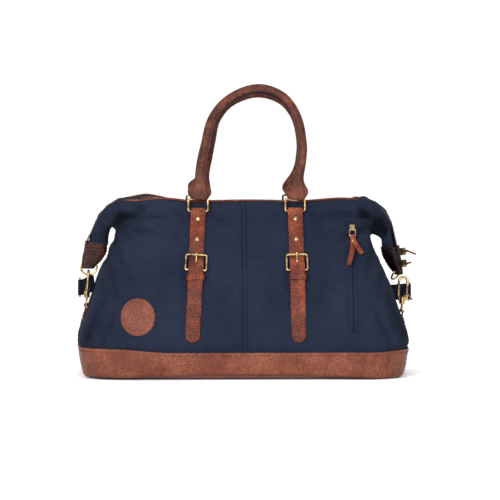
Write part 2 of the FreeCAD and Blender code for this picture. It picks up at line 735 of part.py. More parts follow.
def handles():
    for side in ("front", "back"):
        points = handle_points(side)
        bar = upper_bar()
        if side == "back":
            bar.y = -bar.y
        path = rounded_path(points)
        outer = tube(path, size("handle_width") / 2)
        bore = tube(path, size("handle_bore") / 2)
        feet = ((points[0], "left"), (points[-1], "right"))
        ends = [handle_end(foot, STRAPS[hand][0], bar) for foot, hand in feet]
        cover = outer.fuse(ends).cut(bore)
        solid_part(f"{side}_handle_cover", cover)
        solid_part(f"{side}_handle_core", tube(path, size("core_width") / 2))


# ---------------------------------------------------------------- zip top, pocket and patch

def zip_line(hand):
    """Centres of the main zip's chain along a wing's outer edge, and the way outwards at each."""
    sign = HANDS[hand]
    points = []
    edges = []
    for centre, heading, half_width, depth, twist in WINGS[hand][1:] + WING_ENDS[hand][1:]:
        along = Vector(sign * heading[0], 0, heading[1]).normalize()
        edge = Rotation(along, twist).multVec(Vector(along.z, 0, -along.x)) * (-sign)
        points.append(Vector(sign * centre[0], 0, centre[1]) + edge * (half_width + 3.8))
        edges.append(edge)
    points[-1] = points[-2] + (points[-1] - points[-2]) * 0.55
    return points, edges


def zip_top():
    half = 184
    top = size("top_height")
    edge = half_depth(top) - 0.8
    for side, sign in (("front", -1), ("back", 1)):
        crest = [(-half, 2.9), (-150, 5), (-100, 3.2), (60, 3), (110, 3.2), (150, 5), (half, 2.9)]
        path = rounded_path([Vector(x, sign * edge, top + rise) for x, rise in crest])
        solid_part(f"piping_{side}", tube(path, size("piping_width") / 2))
    tapes = []
    for sign in (-1, 1):
        tapes.append(block((-half, half), sorted((sign * 2.1, sign * (edge - 3))), (top + 1, top + 2.2)))
    solid_part("main_zip_tapes", Part.makeCompound(tapes))
    crown = [Vector(-half, 0, top + 2), Vector(half, 0, top + 2)]
    route = zip_line("left")[0][::-1] + crown + zip_line("right")[0]
    chain = tube(rounded_path(route, radius=20), 1.6)
    solid_part("main_zip_chain", chain)


def slider_shape():
    """Slider that straddles the chain, with a bail pin between two ears. Chain along y, outside +z."""
    half = size("slider_width") / 2
    length = size("slider_length") / 2
    body = block((-half, half), (-length, length), (-1.2, 4.2)).cut(block((-2, 2), (-9, 9), (-3, 2)))
    ears = [block(sorted((side * 2.6, side * 3.7)), (-1.8, 1.8), (4, 8)) for side in (-1, 1)]
    return body.fuse(ears + [rod(Vector(-3, 0, 6.6), Vector(3, 0, 6.6), 0.9)])


def thong_shape(tails):
    """Leather thong folded round a bail pin; each tail is a list of points in the local y-z plane."""
    eye = rod(Vector(-2.3, 0, 0), Vector(2.3, 0, 0), 2.4)
    strips = [ribbon([Vector(0, y, z) for y, z in tail], 1.5, 4.6) for tail in tails]
    return eye.fuse(strips).cut(rod(Vector(-3, 0, 0), Vector(3, 0, 0), 0.96))


def slider_frames():
    """Frames of both sliders, parked at the right wing's end, each on a straight run of the chain."""
    points, edges = zip_line("right")
    for name, first, share in (("upper", -3, 0.6), ("lower", -2, 0.62)):
        start, end = points[first], points[first + 1]
        along = (start - end).normalize()
        across = along.cross(edges[first] + edges[first + 1]).normalize()
        out = across.cross(along)
        yield name, Placement(start + (end - start) * share, Rotation(across, along, out, "ZXY"))


def main_sliders():
    tails = {"upper": [(0, 1.6), (-3, 8), (-8, 17)], "lower": [(0, 1.6), (1, 7), (3, 11)]}
    for name, frame in slider_frames():
        solid_part(f"main_slider_{name}", slider_shape(), frame)
        bail = frame * Placement(Vector(0, 0, 6.6), Rotation())
        solid_part(f"main_pull_{name}", thong_shape([tails[name]]), bail)


def pocket():
    """Vertical zip pocket of the front panel: welts, zip, slider, pull and the hidden pouch."""
    x = POCKET_X
    low, high = 73, 230
    welts = [panel_strip(x + side * 8.4, x + side * 3.8, low - 3, high + 3, 0.15, 1.6) for side in (-1, 1)]
    solid_part("pocket_welts", Part.makeCompound(welts))
    tape = panel_strip(x - 3.4, x + 3.4, low + 1, high - 1, -1.5, -0.3)
    teeth = panel_strip(x - 1.6, x + 1.6, low + 2, high - 2, -0.3, 0.9)
    solid_part("pocket_zip", tape.fuse(teeth))
    frame = on_panel("front", x, 221, 1.2)
    half = size("slider_width") / 2 - 0.6
    length = size("slider_length") / 2
    body = block((-half, half), (-length, length), (0.3, 3.2))
    lug = block((-1.5, 1.5), (-length, -1.8), (3, 7)).cut(rod(Vector(-3, -3.7, 5), Vector(3, -3.7, 5), 0.86))
    solid_part("pocket_slider", body.fuse(lug), frame)
    hinge = frame * Placement(Vector(0, -3.7, 5), Rotation())
    corners = [Vector(-4.5, 0, 0), Vector(4.5, 0, 0), Vector(4.5, -11, 1), Vector(-4.5, -11, 1)]
    ring = tube(rounded_path(corners, closed=True, radius=1.2), 0.8)
    solid_part("pocket_pull_ring", ring, hinge)
    eye = rod(Vector(-3.2, -11, 1), Vector(3.2, -11, 1), 2.5)
    tails = [ribbon([Vector(0, -12, 2.2), Vector(0, -26, 3), Vector(0, -44, 2.4)], 1.5, 6.4),
             ribbon([Vector(0, -12, -0.4), Vector(0, -26, 0.4), Vector(0, -60, 0.2)], 1.5, 6.4)]
    thong = eye.fuse(tails).cut(rod(Vector(-4, -11, 1), Vector(4, -11, 1), 0.86))
    solid_part("pocket_pull", thong.fuse(rod(Vector(0, -20, -1), Vector(0, -20, 4.6), 1.8)), hinge)
    pouch = panel_strip(92, 171, 70, 225, -3.1, -1.9)
    solid_part("pocket_pouch", pouch)


def patch():
    """Plain round leather patch."""
    body = new_body("round_patch")
    sketch = new_sketch(body, "outline")
    circle = sketch.addGeometry(Part.Circle(Vector(0, 0, 0), Vector(0, 0, 1), 20), False)
    sketch.addConstraint(Sketcher.Constraint("Coincident", circle, 3, -1, 1))
    bound = sketch.addConstraint(Sketcher.Constraint("Radius", circle, 20))
    sketch.setExpression(f"Constraints[{bound}]", "Dimensions.patch_width/2")
    pad = body.newObject("PartDesign::Pad", "thickness")
    pad.Profile = sketch
    pad.Length = 2.2
    kept(body, "round_patch", on_panel("front", -159.5, 94, 0.4))


# ---------------------------------------------------------------- build, check and export

base_tray()
padded_rectangle("base_board", "2*Dimensions.base_half_length - 34", "2*Dimensions.base_half_depth - 34",
                 "Dimensions.base_corner - 14", "Dimensions.board_thickness",
                 height="Dimensions.base_floor + 0.2")
canvas_panels()
lining()
wings()
hooks()
side_loops()
straps()
handles()
zip_top()
main_sliders()
pocket()
patch()
doc.recompute()

for feature in doc.Objects:
    if "Invalid" in feature.State or "Error" in feature.State:
        raise RuntimeError(f"{feature.Label} failed: {feature.State}")
os.makedirs("parts", exist_ok=True)
for feature in NODES:
    shape = feature.Shape
    if shape.isNull() or not shape.isValid() or shape.Volume <= 0:
        raise RuntimeError(f"{feature.Label} has no valid solid")
    shape.exportStep(f"parts/{feature.Label}.step")
print(len(NODES), "sub-parts")
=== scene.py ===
"""Weekender bag: canvas shell, leather base, straps and handles, brass hardware and zips.

Lengths inside the helpers are millimetres in the row frame; meshes are made in metres.
"""
import json
import math

import bpy
import numpy as np
from mathutils import Matrix, Vector, noise


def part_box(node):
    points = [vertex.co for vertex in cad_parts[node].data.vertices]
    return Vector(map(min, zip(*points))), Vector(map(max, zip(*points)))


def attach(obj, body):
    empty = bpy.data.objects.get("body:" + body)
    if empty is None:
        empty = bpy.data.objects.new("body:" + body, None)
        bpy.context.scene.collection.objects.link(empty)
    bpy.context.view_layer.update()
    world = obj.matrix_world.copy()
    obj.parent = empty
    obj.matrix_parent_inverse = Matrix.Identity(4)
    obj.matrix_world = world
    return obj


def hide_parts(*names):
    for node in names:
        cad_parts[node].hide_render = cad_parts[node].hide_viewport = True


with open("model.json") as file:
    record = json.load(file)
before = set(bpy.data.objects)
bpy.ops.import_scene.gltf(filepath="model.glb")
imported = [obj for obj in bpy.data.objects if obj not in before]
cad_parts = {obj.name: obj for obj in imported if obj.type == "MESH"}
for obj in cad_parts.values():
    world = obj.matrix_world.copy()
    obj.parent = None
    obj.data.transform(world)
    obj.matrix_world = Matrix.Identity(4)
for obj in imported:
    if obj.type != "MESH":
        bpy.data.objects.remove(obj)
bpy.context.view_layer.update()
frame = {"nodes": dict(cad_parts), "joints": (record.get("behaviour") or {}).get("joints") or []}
MM = 0.001
JOINTS = {joint["name"]: joint for joint in frame["joints"]}
HANDS = {"left": -1, "right": 1}
SIDES = {"front": -1, "back": 1}

# Shell: height, half length and corner radius of level sections; the panels' curve of radius
# PROFILE_RADIUS gives the half depth.
BAND_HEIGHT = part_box("base_leather")[1].z / MM
TOP_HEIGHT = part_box("front_canvas_left")[1].z / MM
PROFILE_HEIGHT = JOINTS["pocket_slider_travel"]["pos_m"][2] / MM
PROFILE_OFFSET = JOINTS["pocket_slider_travel"]["pos_m"][1] / MM
PROFILE_RADIUS = 406.0
SECTIONS = [(36, 246, 60), (41, 246.5, 60), (56, 245, 58), (75, 240, 55), (100, 231, 48), (125, 222, 42),
            (150, 212, 35), (175, 202, 28), (200, 192, 20), (215, 189, 17), (235, 187, 15), (262, 187, 14)]
# Strap centres across the panel, at the ring and at the strap's tip.
STRAPS = {"left": (-68, -79), "right": (77, 80)}
STRAP_WIDTH = 22
# Centre of the round patch, and the pocket zip's place across and its two ends.
PATCH = (-159.5, 94)
POCKET_X, POCKET_LOW, POCKET_HIGH = 161.5, 73, 230
LEATHER = 2.8
LINING_GAP = 9
PIPING_WIDTH = 3.3
# The wings take over from the body's top edge between these distances from the middle.
WING_FADE = (185, 165)


# ---------------------------------------------------------------- maths


def smooth(low, high, value):
    """Eased step from 0 at low to 1 at high."""
    t = min(1.0, max(0.0, (value - low) / (high - low)))
    return t * t * (3 - 2 * t)


def bump(centre, width, value):
    """Bell of height 1 about a centre."""
    return math.exp(-((value - centre) / width) ** 2)


def circle(count):
    """Angles evenly spaced round a full turn."""
    return np.linspace(0, 2 * math.pi, count, endpoint=False)


def distances(points):
    """How far along a line each of its points lies."""
    return np.concatenate([[0], np.cumsum(np.linalg.norm(np.diff(points, axis=0), axis=1))])


def spline(points, count):
    """Catmull-Rom curve through rows of numbers, count samples evenly spaced in length."""
    points = np.array(points, float)
    control = np.vstack([2 * points[0] - points[1], points, 2 * points[-1] - points[-2]])
    dense = []
    for index in range(len(points) - 1):
        a, b, c, d = control[index:index + 4]
        for t in np.linspace(0, 1, 24, endpoint=False):
            dense.append(0.5 * (2 * b + (c - a) * t + (2 * a - 5 * b + 4 * c - d) * t * t
                                + (3 * b - a - 3 * c + d) * t ** 3))
    dense = np.array(dense + [points[-1]])
    length = distances(dense[:, :3])
    where = np.linspace(0, length[-1], count)
    return np.stack([np.interp(where, length, column) for column in dense.T], axis=1)


def path_length(points):
    return float(np.linalg.norm(np.diff(np.array(points)[:, :3], axis=0), axis=1).sum())


def unit(vector):
    vector = np.array(vector, float)
    return vector / max(1e-9, np.linalg.norm(vector))


def tangents(points):
    return np.array([unit(v) for v in np.gradient(np.array(points, float), axis=0)])


def panel_angle(height):
    return np.arcsin((np.asarray(height, float) - PROFILE_HEIGHT) / PROFILE_RADIUS)


def half_depth(height):
    return PROFILE_RADIUS * np.cos(panel_angle(height)) - PROFILE_OFFSET


def on_panel(side, x, height, lift):
    """Point over a panel: across, height of the surface below it, and lift off the surface."""
    angle = panel_angle(height)
    reach = PROFILE_RADIUS + lift
    y = SIDES[side] * (reach * math.cos(angle) - PROFILE_OFFSET)
    return np.array([x, y, PROFILE_HEIGHT + reach * math.sin(angle)])


def panel_out(side, height):
    angle = float(panel_angle(height))
    return np.array([0, SIDES[side] * math.cos(angle), math.sin(angle)])


# ---------------------------------------------------------------- meshes


def bare_object(name, vertices, faces):
    """An object in the scene from millimetre points."""
    mesh = bpy.data.meshes.new(name)
    mesh.from_pydata([tuple(np.array(v) * MM) for v in vertices], [], [tuple(f) for f in faces])
    mesh.validate()
    piece = bpy.data.objects.new(name, mesh)
    bpy.context.scene.collection.objects.link(piece)
    return piece


def finish_piece(piece, material, replaced=(), body="root"):
    """Gives a piece its shading, material and body, and hides the CAD nodes it stands for."""
    for polygon in piece.data.polygons:
        polygon.use_smooth = True
    piece.data.materials.clear()
    piece.data.materials.append(MATERIALS[material])
    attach(piece, body)
    if replaced:
        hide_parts(*replaced)
    return piece


def make_object(name, vertices, faces, material, replaced=(), slot=None, body="root"):
    """A finished piece from millimetre points."""
    return finish_piece(bare_object(name, vertices, faces), material, replaced, body)


def grid_faces(rows, columns):
    """Faces between neighbouring closed rings."""
    faces = []
    for i in range(rows - 1):
        for j in range(columns):
            k = (j + 1) % columns
            faces.append((i * columns + j, i * columns + k, (i + 1) * columns + k, (i + 1) * columns + j))
    return faces


def loft_data(rings):
    """Vertices and faces of a closed skin over rings of equal point count."""
    rings = np.array(rings, float)
    rows, columns, _ = rings.shape
    vertices = list(rings.reshape(-1, 3))
    faces = grid_faces(rows, columns)
    for row, order in ((0, -1), (rows - 1, 1)):
        centre = len(vertices)
        vertices.append(rings[row].mean(axis=0))
        for j in range(columns):
            pair = (row * columns + j, row * columns + (j + 1) % columns)
            faces.append((centre,) + pair[::order])
    return vertices, faces


def merge(parts):
    """Joins several (vertices, faces) into one."""
    vertices, faces = [], []
    for more, links in parts:
        start = len(vertices)
        vertices.extend(more)
        faces.extend([tuple(index + start for index in face) for face in links])
    return vertices, faces


def smoothed(piece):
    """Adds one level of subdivision."""
    modifier = piece.modifiers.new("Smooth surface", "SUBSURF")
    modifier.levels = 1
    modifier.render_levels = 1


def oriented_ring(centre, across, up, outline):
    """Outline of (a, b) pairs laid out in the plane of two directions."""
    return [np.array(centre) + a * np.array(across) + b * np.array(up) for a, b in outline]


def round_outline(width, height, power=2.0, count=20):
    """Superellipse: power 2 is an ellipse, larger is squarer."""
    turns = circle(count)
    c, s = np.cos(turns), np.sin(turns)
    return np.stack([width / 2 * np.sign(c) * np.abs(c) ** (2 / power),
                     height / 2 * np.sign(s) * np.abs(s) ** (2 / power)], axis=1)


def swept(points, width, thickness, out, power=2.0, count=16):
    """Bar of superellipse section along points; out is a direction, or one per point."""
    points = np.array(points, float)
    along = tangents(points)
    rings = []
    for index, point in enumerate(points):
        facing = np.array(out[index] if np.ndim(out) == 2 else out, float)
        across = unit(np.cross(facing, along[index]))
        normal = np.cross(along[index], across)
        w = width[index] if np.ndim(width) else width
        t = thickness[index] if np.ndim(thickness) else thickness
        rings.append(oriented_ring(point, across, normal, round_outline(w, t, power, count)))
    return loft_data(rings)


def stitch_data(points, out, step=4.2, length=2.9, width=0.75, lift=0.15):
    """A row of separate stitches along a line, each a small plump dash lying on the surface."""
    points = np.array(points, float)
    total = path_length(points)
    count = max(2, int(total / step))
    line = spline(points, count) if len(points) > 2 else np.linspace(points[0], points[-1], count)
    along = tangents(line)
    parts = []
    for index, point in enumerate(line):
        facing = unit(out(point) if callable(out) else out)
        across = unit(np.cross(facing, along[index]))
        outline = round_outline(width, width * 0.8, 2.0, 6)
        rings = []
        for share, size in ((-0.5, 0.35), (-0.36, 0.9), (0, 1.0), (0.36, 0.9), (0.5, 0.35)):
            sink = -0.35 if abs(share) == 0.5 else 0
            centre = point + along[index] * share * length + facing * (lift + sink)
            rings.append(oriented_ring(centre, across, facing, outline * size))
        parts.append(loft_data(rings))
    return merge(parts)


# ---------------------------------------------------------------- materials


class Nodes:
    """Short names for building one material's node tree."""

    def __init__(self, name):
        self.material = bpy.data.materials.new(name)
        self.material.use_nodes = True
        self.tree = self.material.node_tree
        self.shader = self.tree.nodes["Principled BSDF"]
        self.place = self.tree.nodes.new("ShaderNodeTexCoord").outputs["Object"]

    def add(self, kind, sockets=(), **settings):
        node = self.tree.nodes.new(kind)
        for key, value in settings.items():
            setattr(node, key, value)
        for key, value in dict(sockets).items():
            self.put(node.inputs[key], value)
        return node

    def put(self, socket, value):
        if isinstance(value, bpy.types.NodeSocket):
            self.tree.links.new(value, socket)
        else:
            socket.default_value = value

    def scaled(self, scale):
        mapping = self.add("ShaderNodeMapping", {"Vector": self.place})
        mapping.inputs["Scale"].default_value = scale
        return mapping.outputs["Vector"]

    def noise(self, scale, detail=3.0, stretch=(1, 1, 1), roughness=0.55):
        node = self.add("ShaderNodeTexNoise", {"Vector": self.scaled(stretch), "Scale": scale,
                                               "Detail": detail,
                                               "Roughness": roughness})
        return node.outputs["Fac"]

    def cells(self, scale, feature="F1"):
        node = self.add("ShaderNodeTexVoronoi", {"Vector": self.place, "Scale": scale}, feature=feature)
        return node.outputs["Distance"]

    def wave(self, scale, direction, distortion=0.0):
        node = self.add("ShaderNodeTexWave", {"Vector": self.place, "Scale": scale, "Distortion": distortion,
                                              "Detail": 1.0}, bands_direction=direction)
        return node.outputs["Fac"]

    def ramp(self, factor, stops):
        node = self.add("ShaderNodeValToRGB", {"Fac": factor})
        elements = node.color_ramp.elements
        while len(elements) < len(stops):
            elements.new(0.5)
        for element, (position, colour) in zip(elements, stops):
            element.position = position
            element.color = (*colour, 1)
        return node.outputs["Color"]

    def grey(self, factor, low, high, start=0.0, end=1.0):
        node = self.add("ShaderNodeMapRange", {"Value": factor, "From Min": start, "From Max": end,
                                               "To Min": low, "To Max": high})
        return node.outputs["Result"]

    def sum(self, a, b, operation="ADD"):
        return self.add("ShaderNodeMath", {0: a, 1: b}, operation=operation).outputs[0]

    def mix(self, factor, a, b):
        node = self.add("ShaderNodeMix", data_type="RGBA")
        self.put(node.inputs[0], factor)
        self.put(node.inputs[6], a if isinstance(a, bpy.types.NodeSocket) else (*a, 1))
        self.put(node.inputs[7], b if isinstance(b, bpy.types.NodeSocket) else (*b, 1))
        return node.outputs[2]

    def relief(self, height, strength, distance, under=None):
        node = self.add("ShaderNodeBump", {"Height": height, "Strength": strength, "Distance": distance})
        if under is not None:
            self.put(node.inputs["Normal"], under)
        return node.outputs["Normal"]

    def finish(self, colour, roughness, normal=None, **fixed):
        self.put(self.shader.inputs["Base Color"], colour)
        self.put(self.shader.inputs["Roughness"], roughness)
        if normal is not None:
            self.put(self.shader.inputs["Normal"], normal)
        for key, value in fixed.items():
            self.shader.inputs[key.replace("_", " ")].default_value = value
        return self.material


def woven(name, dark, light, pitch):
    """Plain weave: crossed threads, faint slubs, patches of fading and soft creases, with painted shade from
    a mesh attribute darkening the folds and hollows.
    """
    n = Nodes(name)
    scale = 0.05 / (pitch * MM)
    across = n.wave(scale, "X")
    around = n.wave(scale, "Y")
    level = n.wave(scale, "Z")
    weave = n.sum(n.sum(across, around, "MAXIMUM"), level, "MULTIPLY")
    slubs = n.sum(n.noise(420, 2, (1, 1, 0.12)), n.noise(420, 2, (0.12, 0.12, 1)))
    grain = n.noise(1500, 2)
    cloud = n.noise(13, 6)
    tone = n.sum(n.sum(slubs, 0.25, "MULTIPLY"), n.sum(cloud, 0.55, "MULTIPLY"))
    tone = n.sum(tone, n.sum(grain, 0.25, "MULTIPLY"))
    colour = n.ramp(tone, [(0.38, dark), (0.78, light)])
    colour = n.mix(n.grey(weave, 0.0, 0.12), colour, light)
    threads = n.relief(weave, 0.3, pitch * 0.3 * MM)
    rough = n.relief(slubs, 0.2, 0.2 * MM, threads)
    creases = n.relief(n.noise(34, 4), 0.5, 2.4 * MM, rough)
    # Painted shade: the mesh attribute darkens the colour towards a fifth of the dark tone in folds and
    # hollows.
    shade = n.add("ShaderNodeAttribute", attribute_name="painted_shade").outputs["Fac"]
    colour = n.mix(shade, colour, tuple(0.2 * c for c in dark))
    return n.finish(colour, n.grey(cloud, 0.82, 0.96), creases, Specular_IOR_Level=0.05)


def hide(name, dark, mid, light, grain=360, spread=0.105, crackle=False):
    """Full-grain leather: pebbles with dark furrows, grainy and smooth patches, paler rubbed tops."""
    n = Nodes(name)
    pebble = n.cells(grain)
    crack = n.cells(grain, "DISTANCE_TO_EDGE")
    small = n.cells(grain * 2.3)
    mottle = n.noise(24, 5)
    patches = n.grey(n.noise(30, 3), 0.25, 1.0, 0.35, 0.6)
    wear = n.noise(70, 6, roughness=0.7)
    base = n.sum(n.sum(mottle, 0.45, "MULTIPLY"), n.sum(wear, 0.55, "MULTIPLY"))
    colour = n.ramp(base, [(0.5 - spread, dark), (0.5, mid), (0.5 + spread, light)])
    tops = n.sum(n.grey(pebble, 0.7, 0.0, 0.0, 0.5), patches, "MULTIPLY")
    colour = n.mix(tops, colour, mid if crackle else light)
    furrow = n.sum(n.grey(crack, 0.95, 0.0, 0.0, 0.2), patches, "MULTIPLY")
    colour = n.mix(furrow, colour, light if crackle else dark)
    height = n.sum(n.sum(crack, 1.0, "MULTIPLY"), n.sum(small, -0.25, "MULTIPLY"))
    normal = n.relief(height, 0.6, 1.2 * MM)
    normal = n.relief(n.noise(60, 3), 0.35, 1.2 * MM, normal)
    return n.finish(colour, n.grey(wear, 0.36, 0.6, 0.3, 0.7), normal, Specular_IOR_Level=0.16)


def antique(name, bright, dull, roughness):
    """Aged brass: polished high spots among darker tarnish."""
    n = Nodes(name)
    tarnish = n.noise(120, 5, roughness=0.65)
    fine = n.noise(900, 3)
    colour = n.ramp(tarnish, [(0.38, dull), (0.6, bright)])
    normal = n.relief(fine, 0.08, 0.1 * MM)
    return n.finish(colour, n.grey(tarnish, roughness[1], roughness[0], 0.35, 0.65), normal, Metallic=1.0)


def thread(name, dark, light):
    """Twisted sewing thread."""
    n = Nodes(name)
    twist = n.wave(90, "DIAGONAL", 1.0)
    fluff = n.noise(600, 3)
    colour = n.ramp(n.sum(twist, fluff, "MULTIPLY"), [(0.1, dark), (0.6, light)])
    return n.finish(colour, 0.75, n.relief(twist, 0.4, 0.15 * MM), Specular_IOR_Level=0.05)


def edge_paint(name, colour):
    """Painted edge, rubbed in places."""
    n = Nodes(name)
    rub = n.noise(90, 4)
    shade = n.ramp(rub, [(0.35, tuple(0.6 * c for c in colour)), (0.7, colour)])
    return n.finish(shade, n.grey(rub, 0.35, 0.6), n.relief(n.noise(500, 2), 0.15, 0.2 * MM))


MATERIALS = {
    "canvas": woven("Navy canvas", (0.0033, 0.0051, 0.0116), (0.0104, 0.0142, 0.0270), 0.55),
    "tape": woven("Navy zip tape", (0.004, 0.005, 0.010), (0.010, 0.0125, 0.023), 0.35),
    "webbing": woven("Navy webbing", (0.003, 0.004, 0.009), (0.009, 0.0115, 0.021), 0.8),
    "lining": woven("Cotton lining", (0.20, 0.17, 0.13), (0.34, 0.30, 0.24), 0.4),
    "leather": hide("Chestnut leather", (0.028, 0.004, 0.0013), (0.092, 0.015, 0.005), (0.215, 0.047, 0.017)),
    "handle_leather": hide("Handle leather", (0.02, 0.004, 0.002), (0.058, 0.0125, 0.0062),
                           (0.135, 0.038, 0.019)),
    # Band and patch leather: a paler copy of the strap leather, partly for its coarser, paler grain and
    # partly painted light.
    "base_leather": hide("Base leather", (0.04, 0.008, 0.0038), (0.082, 0.0195, 0.01), (0.185, 0.06, 0.033),
                         grain=300, spread=0.24, crackle=True),
    # Left wing's end: brown leather darkened with painted shade.
    "shaded_brown_end_leather": hide("Shaded brown end leather", (0.008, 0.002, 0.0014), (0.03, 0.0068, 0.0042),
                          (0.068, 0.016, 0.01)),
    # Right wing's end: a near-black copy of the end leather, painted shadow.
    "shadowed_end_leather": hide("Shadowed end leather", (0.0008, 0.0002, 0.0002), (0.003, 0.0007, 0.0005),
                         (0.008, 0.002, 0.0013)),
    "leather_edge": edge_paint("Painted leather edge", (0.20, 0.055, 0.032)),
    "brass": antique("Antique brass", (0.46, 0.32, 0.15), (0.10, 0.068, 0.036), (0.25, 0.5)),
    "dark_brass": antique("Tarnished brass", (0.22, 0.15, 0.08), (0.05, 0.035, 0.022), (0.3, 0.55)),
    "teeth": antique("Zip brass", (0.20, 0.14, 0.07), (0.06, 0.042, 0.024), (0.35, 0.6)),
    "thread": thread("Tan thread", (0.04, 0.012, 0.006), (0.13, 0.045, 0.024)),
    "navy_thread": thread("Navy thread", (0.0012, 0.0016, 0.0036), (0.004, 0.0055, 0.012)),
}


# ---------------------------------------------------------------- canvas shell

# Humps and dips of the top edge between the wings: height, place across and half width.
HUMPS = [(4.2, -122, 30), (3.4, 146, 34), (0.8, 5, 40), (-0.8, -68, 16), (-1.2, 79, 16)]
EDGE_DROP = 1.6


def crest(x):
    """Rise of the top edge over its drawn height."""
    return sum(height * bump(place, width, x) for height, place, width in HUMPS) - EDGE_DROP


def sag(x, y):
    """How far the top lies below its front edge: the zip in a channel, the back edge slumped."""
    slump = 5.2 - 8.6 * bump(-150, 26, x)
    return 0.5 * (smooth(-32, -14, y) + smooth(14, 32, y)) * slump * smooth(*WING_FADE, abs(x))


def section_ring(half_length, depth, corner, height, count):
    """Rounded rectangle at a height, counter-clockwise, evenly spaced."""
    points = []
    for index, (x, y) in enumerate(((1, -1), (1, 1), (-1, 1), (-1, -1))):
        centre = np.array([x * (half_length - corner), y * (depth - corner)])
        start = -90 + 90 * index
        for turn in np.radians(np.linspace(start, start + 90, 9)):
            points.append(centre + corner * np.array([math.cos(turn), math.sin(turn)]))
    points.append(points[0])
    flat = np.array(points)
    steps = distances(flat)
    where = np.linspace(0, steps[-1], count, endpoint=False)
    return np.stack([np.interp(where, steps, flat[:, 0]), np.interp(where, steps, flat[:, 1]),
                     np.full(count, float(height))], axis=1)


def shell_size(height):
    """Half length and corner radius of the shell at a height."""
    table = np.array(SECTIONS, float)
    return np.interp(height, table[:, 0], table[:, 1]), np.interp(height, table[:, 0], table[:, 2])


# Wing stations: outer edge (out, up), inner edge (out, up), half depths at both edges, twist in degrees.
WINGS = {
    "left": [((150, 262.5), (150, 221), 35, 58, 0), ((176, 262.5), (180, 222), 35, 55, 0),
             ((190, 261), (191, 223), 34, 50, 0), ((207, 249), (196.5, 225), 28, 40, 0),
             ((220, 231), (200.5, 217), 19, 27, 0), ((230, 211), (201, 205), 12, 15, 0),
             ((234.5, 198), (201.5, 193), 8.5, 8, 0)],
    "right": [((150, 262.5), (150, 216), 35, 58, 0), ((176, 262), (184, 214), 35, 55, 0),
              ((193, 258), (192, 211.5), 34, 50, 0), ((211, 247), (199.5, 210), 27, 39, 4),
              ((222, 231), (206.5, 206.5), 18, 25, 10), ((229, 212), (209.5, 201), 11, 13, 18),
              ((233.5, 191), (209.5, 187), 8, 8, 26)],
}
ENDS = {
    "left": [((234.8, 201), (202.5, 196), 8.6, 8.6, 0), ((238.3, 186), (204.3, 183), 7.4, 7.4, 0),
             ((240.6, 174), (210, 172.5), 5.6, 5.6, 0), ((241.4, 162.6), (220.6, 162), 4.4, 4.4, 0),
             ((241, 158.8), (221.5, 158.4), 4.2, 4.2, 0)],
    "right": [((234.4, 193), (208, 190), 8.4, 8.4, 30), ((238, 176), (210, 176), 7.6, 7.6, 40),
              ((240.6, 163), (217, 162), 5.8, 5.8, 50), ((241.5, 152), (226, 151.5), 4.4, 4.4, 56),
              ((241.3, 148.6), (226.3, 148.3), 4.2, 4.2, 58)],
}


def wing_stations(hand, stations, count):
    """Interpolated stations as rows: outer x, z, inner x, z, half depths, twist."""
    flat = [(*outer, *inner, top, low, twist) for outer, inner, top, low, twist in stations]
    middle = np.array([[(row[0] + row[2]) / 2, (row[1] + row[3]) / 2, 0, *row] for row in flat])
    return spline(middle, count)[:, 3:]


def wing_point(hand, row, share, depth):
    """Point of a wing's section: share 0 is its inner edge and 1 its outer edge, depth in y."""
    sign = HANDS[hand]
    outer = np.array([sign * row[0], 0, row[1]])
    inner = np.array([sign * row[2], 0, row[3]])
    middle = (outer + inner) / 2
    axis = unit(np.cross(outer - inner, (0, 1, 0)))
    turn = Matrix.Rotation(math.radians(row[6]) * -sign * (1 if axis[2] > 0 else -1), 3, Vector(axis))
    offset = inner + (outer - inner) * share + np.array([0, depth, 0]) - middle
    return middle + np.array(turn @ Vector(offset))


def wing_ring(hand, row, count, square=0.5, grow=0.0, groove=0.0):
    """Rounded trapezoid across a wing: wide at its inner edge, narrower where the zip runs."""
    points = []
    for turn in circle(count):
        c, s = math.cos(turn), math.sin(turn)
        share = 0.5 + 0.5 * math.copysign(abs(s) ** square, s)
        width = row[5] + (row[4] - row[5]) * share + grow
        depth = width * math.copysign(abs(c) ** square, c)
        if s > 0 and groove:
            share -= groove * smooth(11, 7, abs(depth)) / max(20.0, row[0] - row[2])
        points.append(wing_point(hand, row, share, depth))
    return points


def relax(value, limit):
    """Keeps a displacement from rising past a limit."""
    return limit + (value - limit) * 0.1 if value > limit else value


# Folds of the canvas on both faces: ends (x, z), depth and half width; a negative depth is a ridge.
FOLDS = [
    ((-194, 232), (-128, 214), 2.6, 5), ((-190, 241), (-104, 243), 2.4, 4),
    ((-186, 226), (-140, 230), -1.8, 5),
    ((-197, 216), (-172, 150), 2.4, 6), ((-206, 190), (-190, 112), 1.8, 6),
    ((-184, 200), (-156, 168), -1.5, 7),
    ((-236, 58), (-206, 128), 2.4, 5), ((-214, 52), (-190, 104), 2.0, 4.5),
    ((-226, 60), (-198, 110), -1.6, 6),
    ((-104, 252), (-84, 232), 2.0, 4), ((-50, 246), (-22, 226), 1.3, 6), ((-96, 240), (-104, 196), 1.2, 6),
    ((192, 226), (136, 208), 2.6, 5), ((190, 238), (106, 246), 2.4, 4), ((186, 230), (130, 232), -1.8, 5),
    ((198, 214), (182, 150), 2.3, 6), ((210, 188), (198, 112), 1.8, 6), ((184, 204), (176, 170), -1.5, 6),
    ((238, 60), (212, 128), 2.4, 5), ((216, 52), (194, 104), 2.0, 4.5), ((228, 62), (202, 114), -1.6, 6),
    ((100, 250), (118, 232), 2.0, 4), ((58, 246), (34, 228), 1.3, 6), ((104, 236), (116, 196), 1.2, 6),
    ((-44, 90), (-14, 176), 0.9, 12), ((28, 84), (46, 168), 0.9, 12), ((-130, 110), (-108, 170), 1.0, 10),
    ((112, 96), (128, 178), 1.0, 10),
]
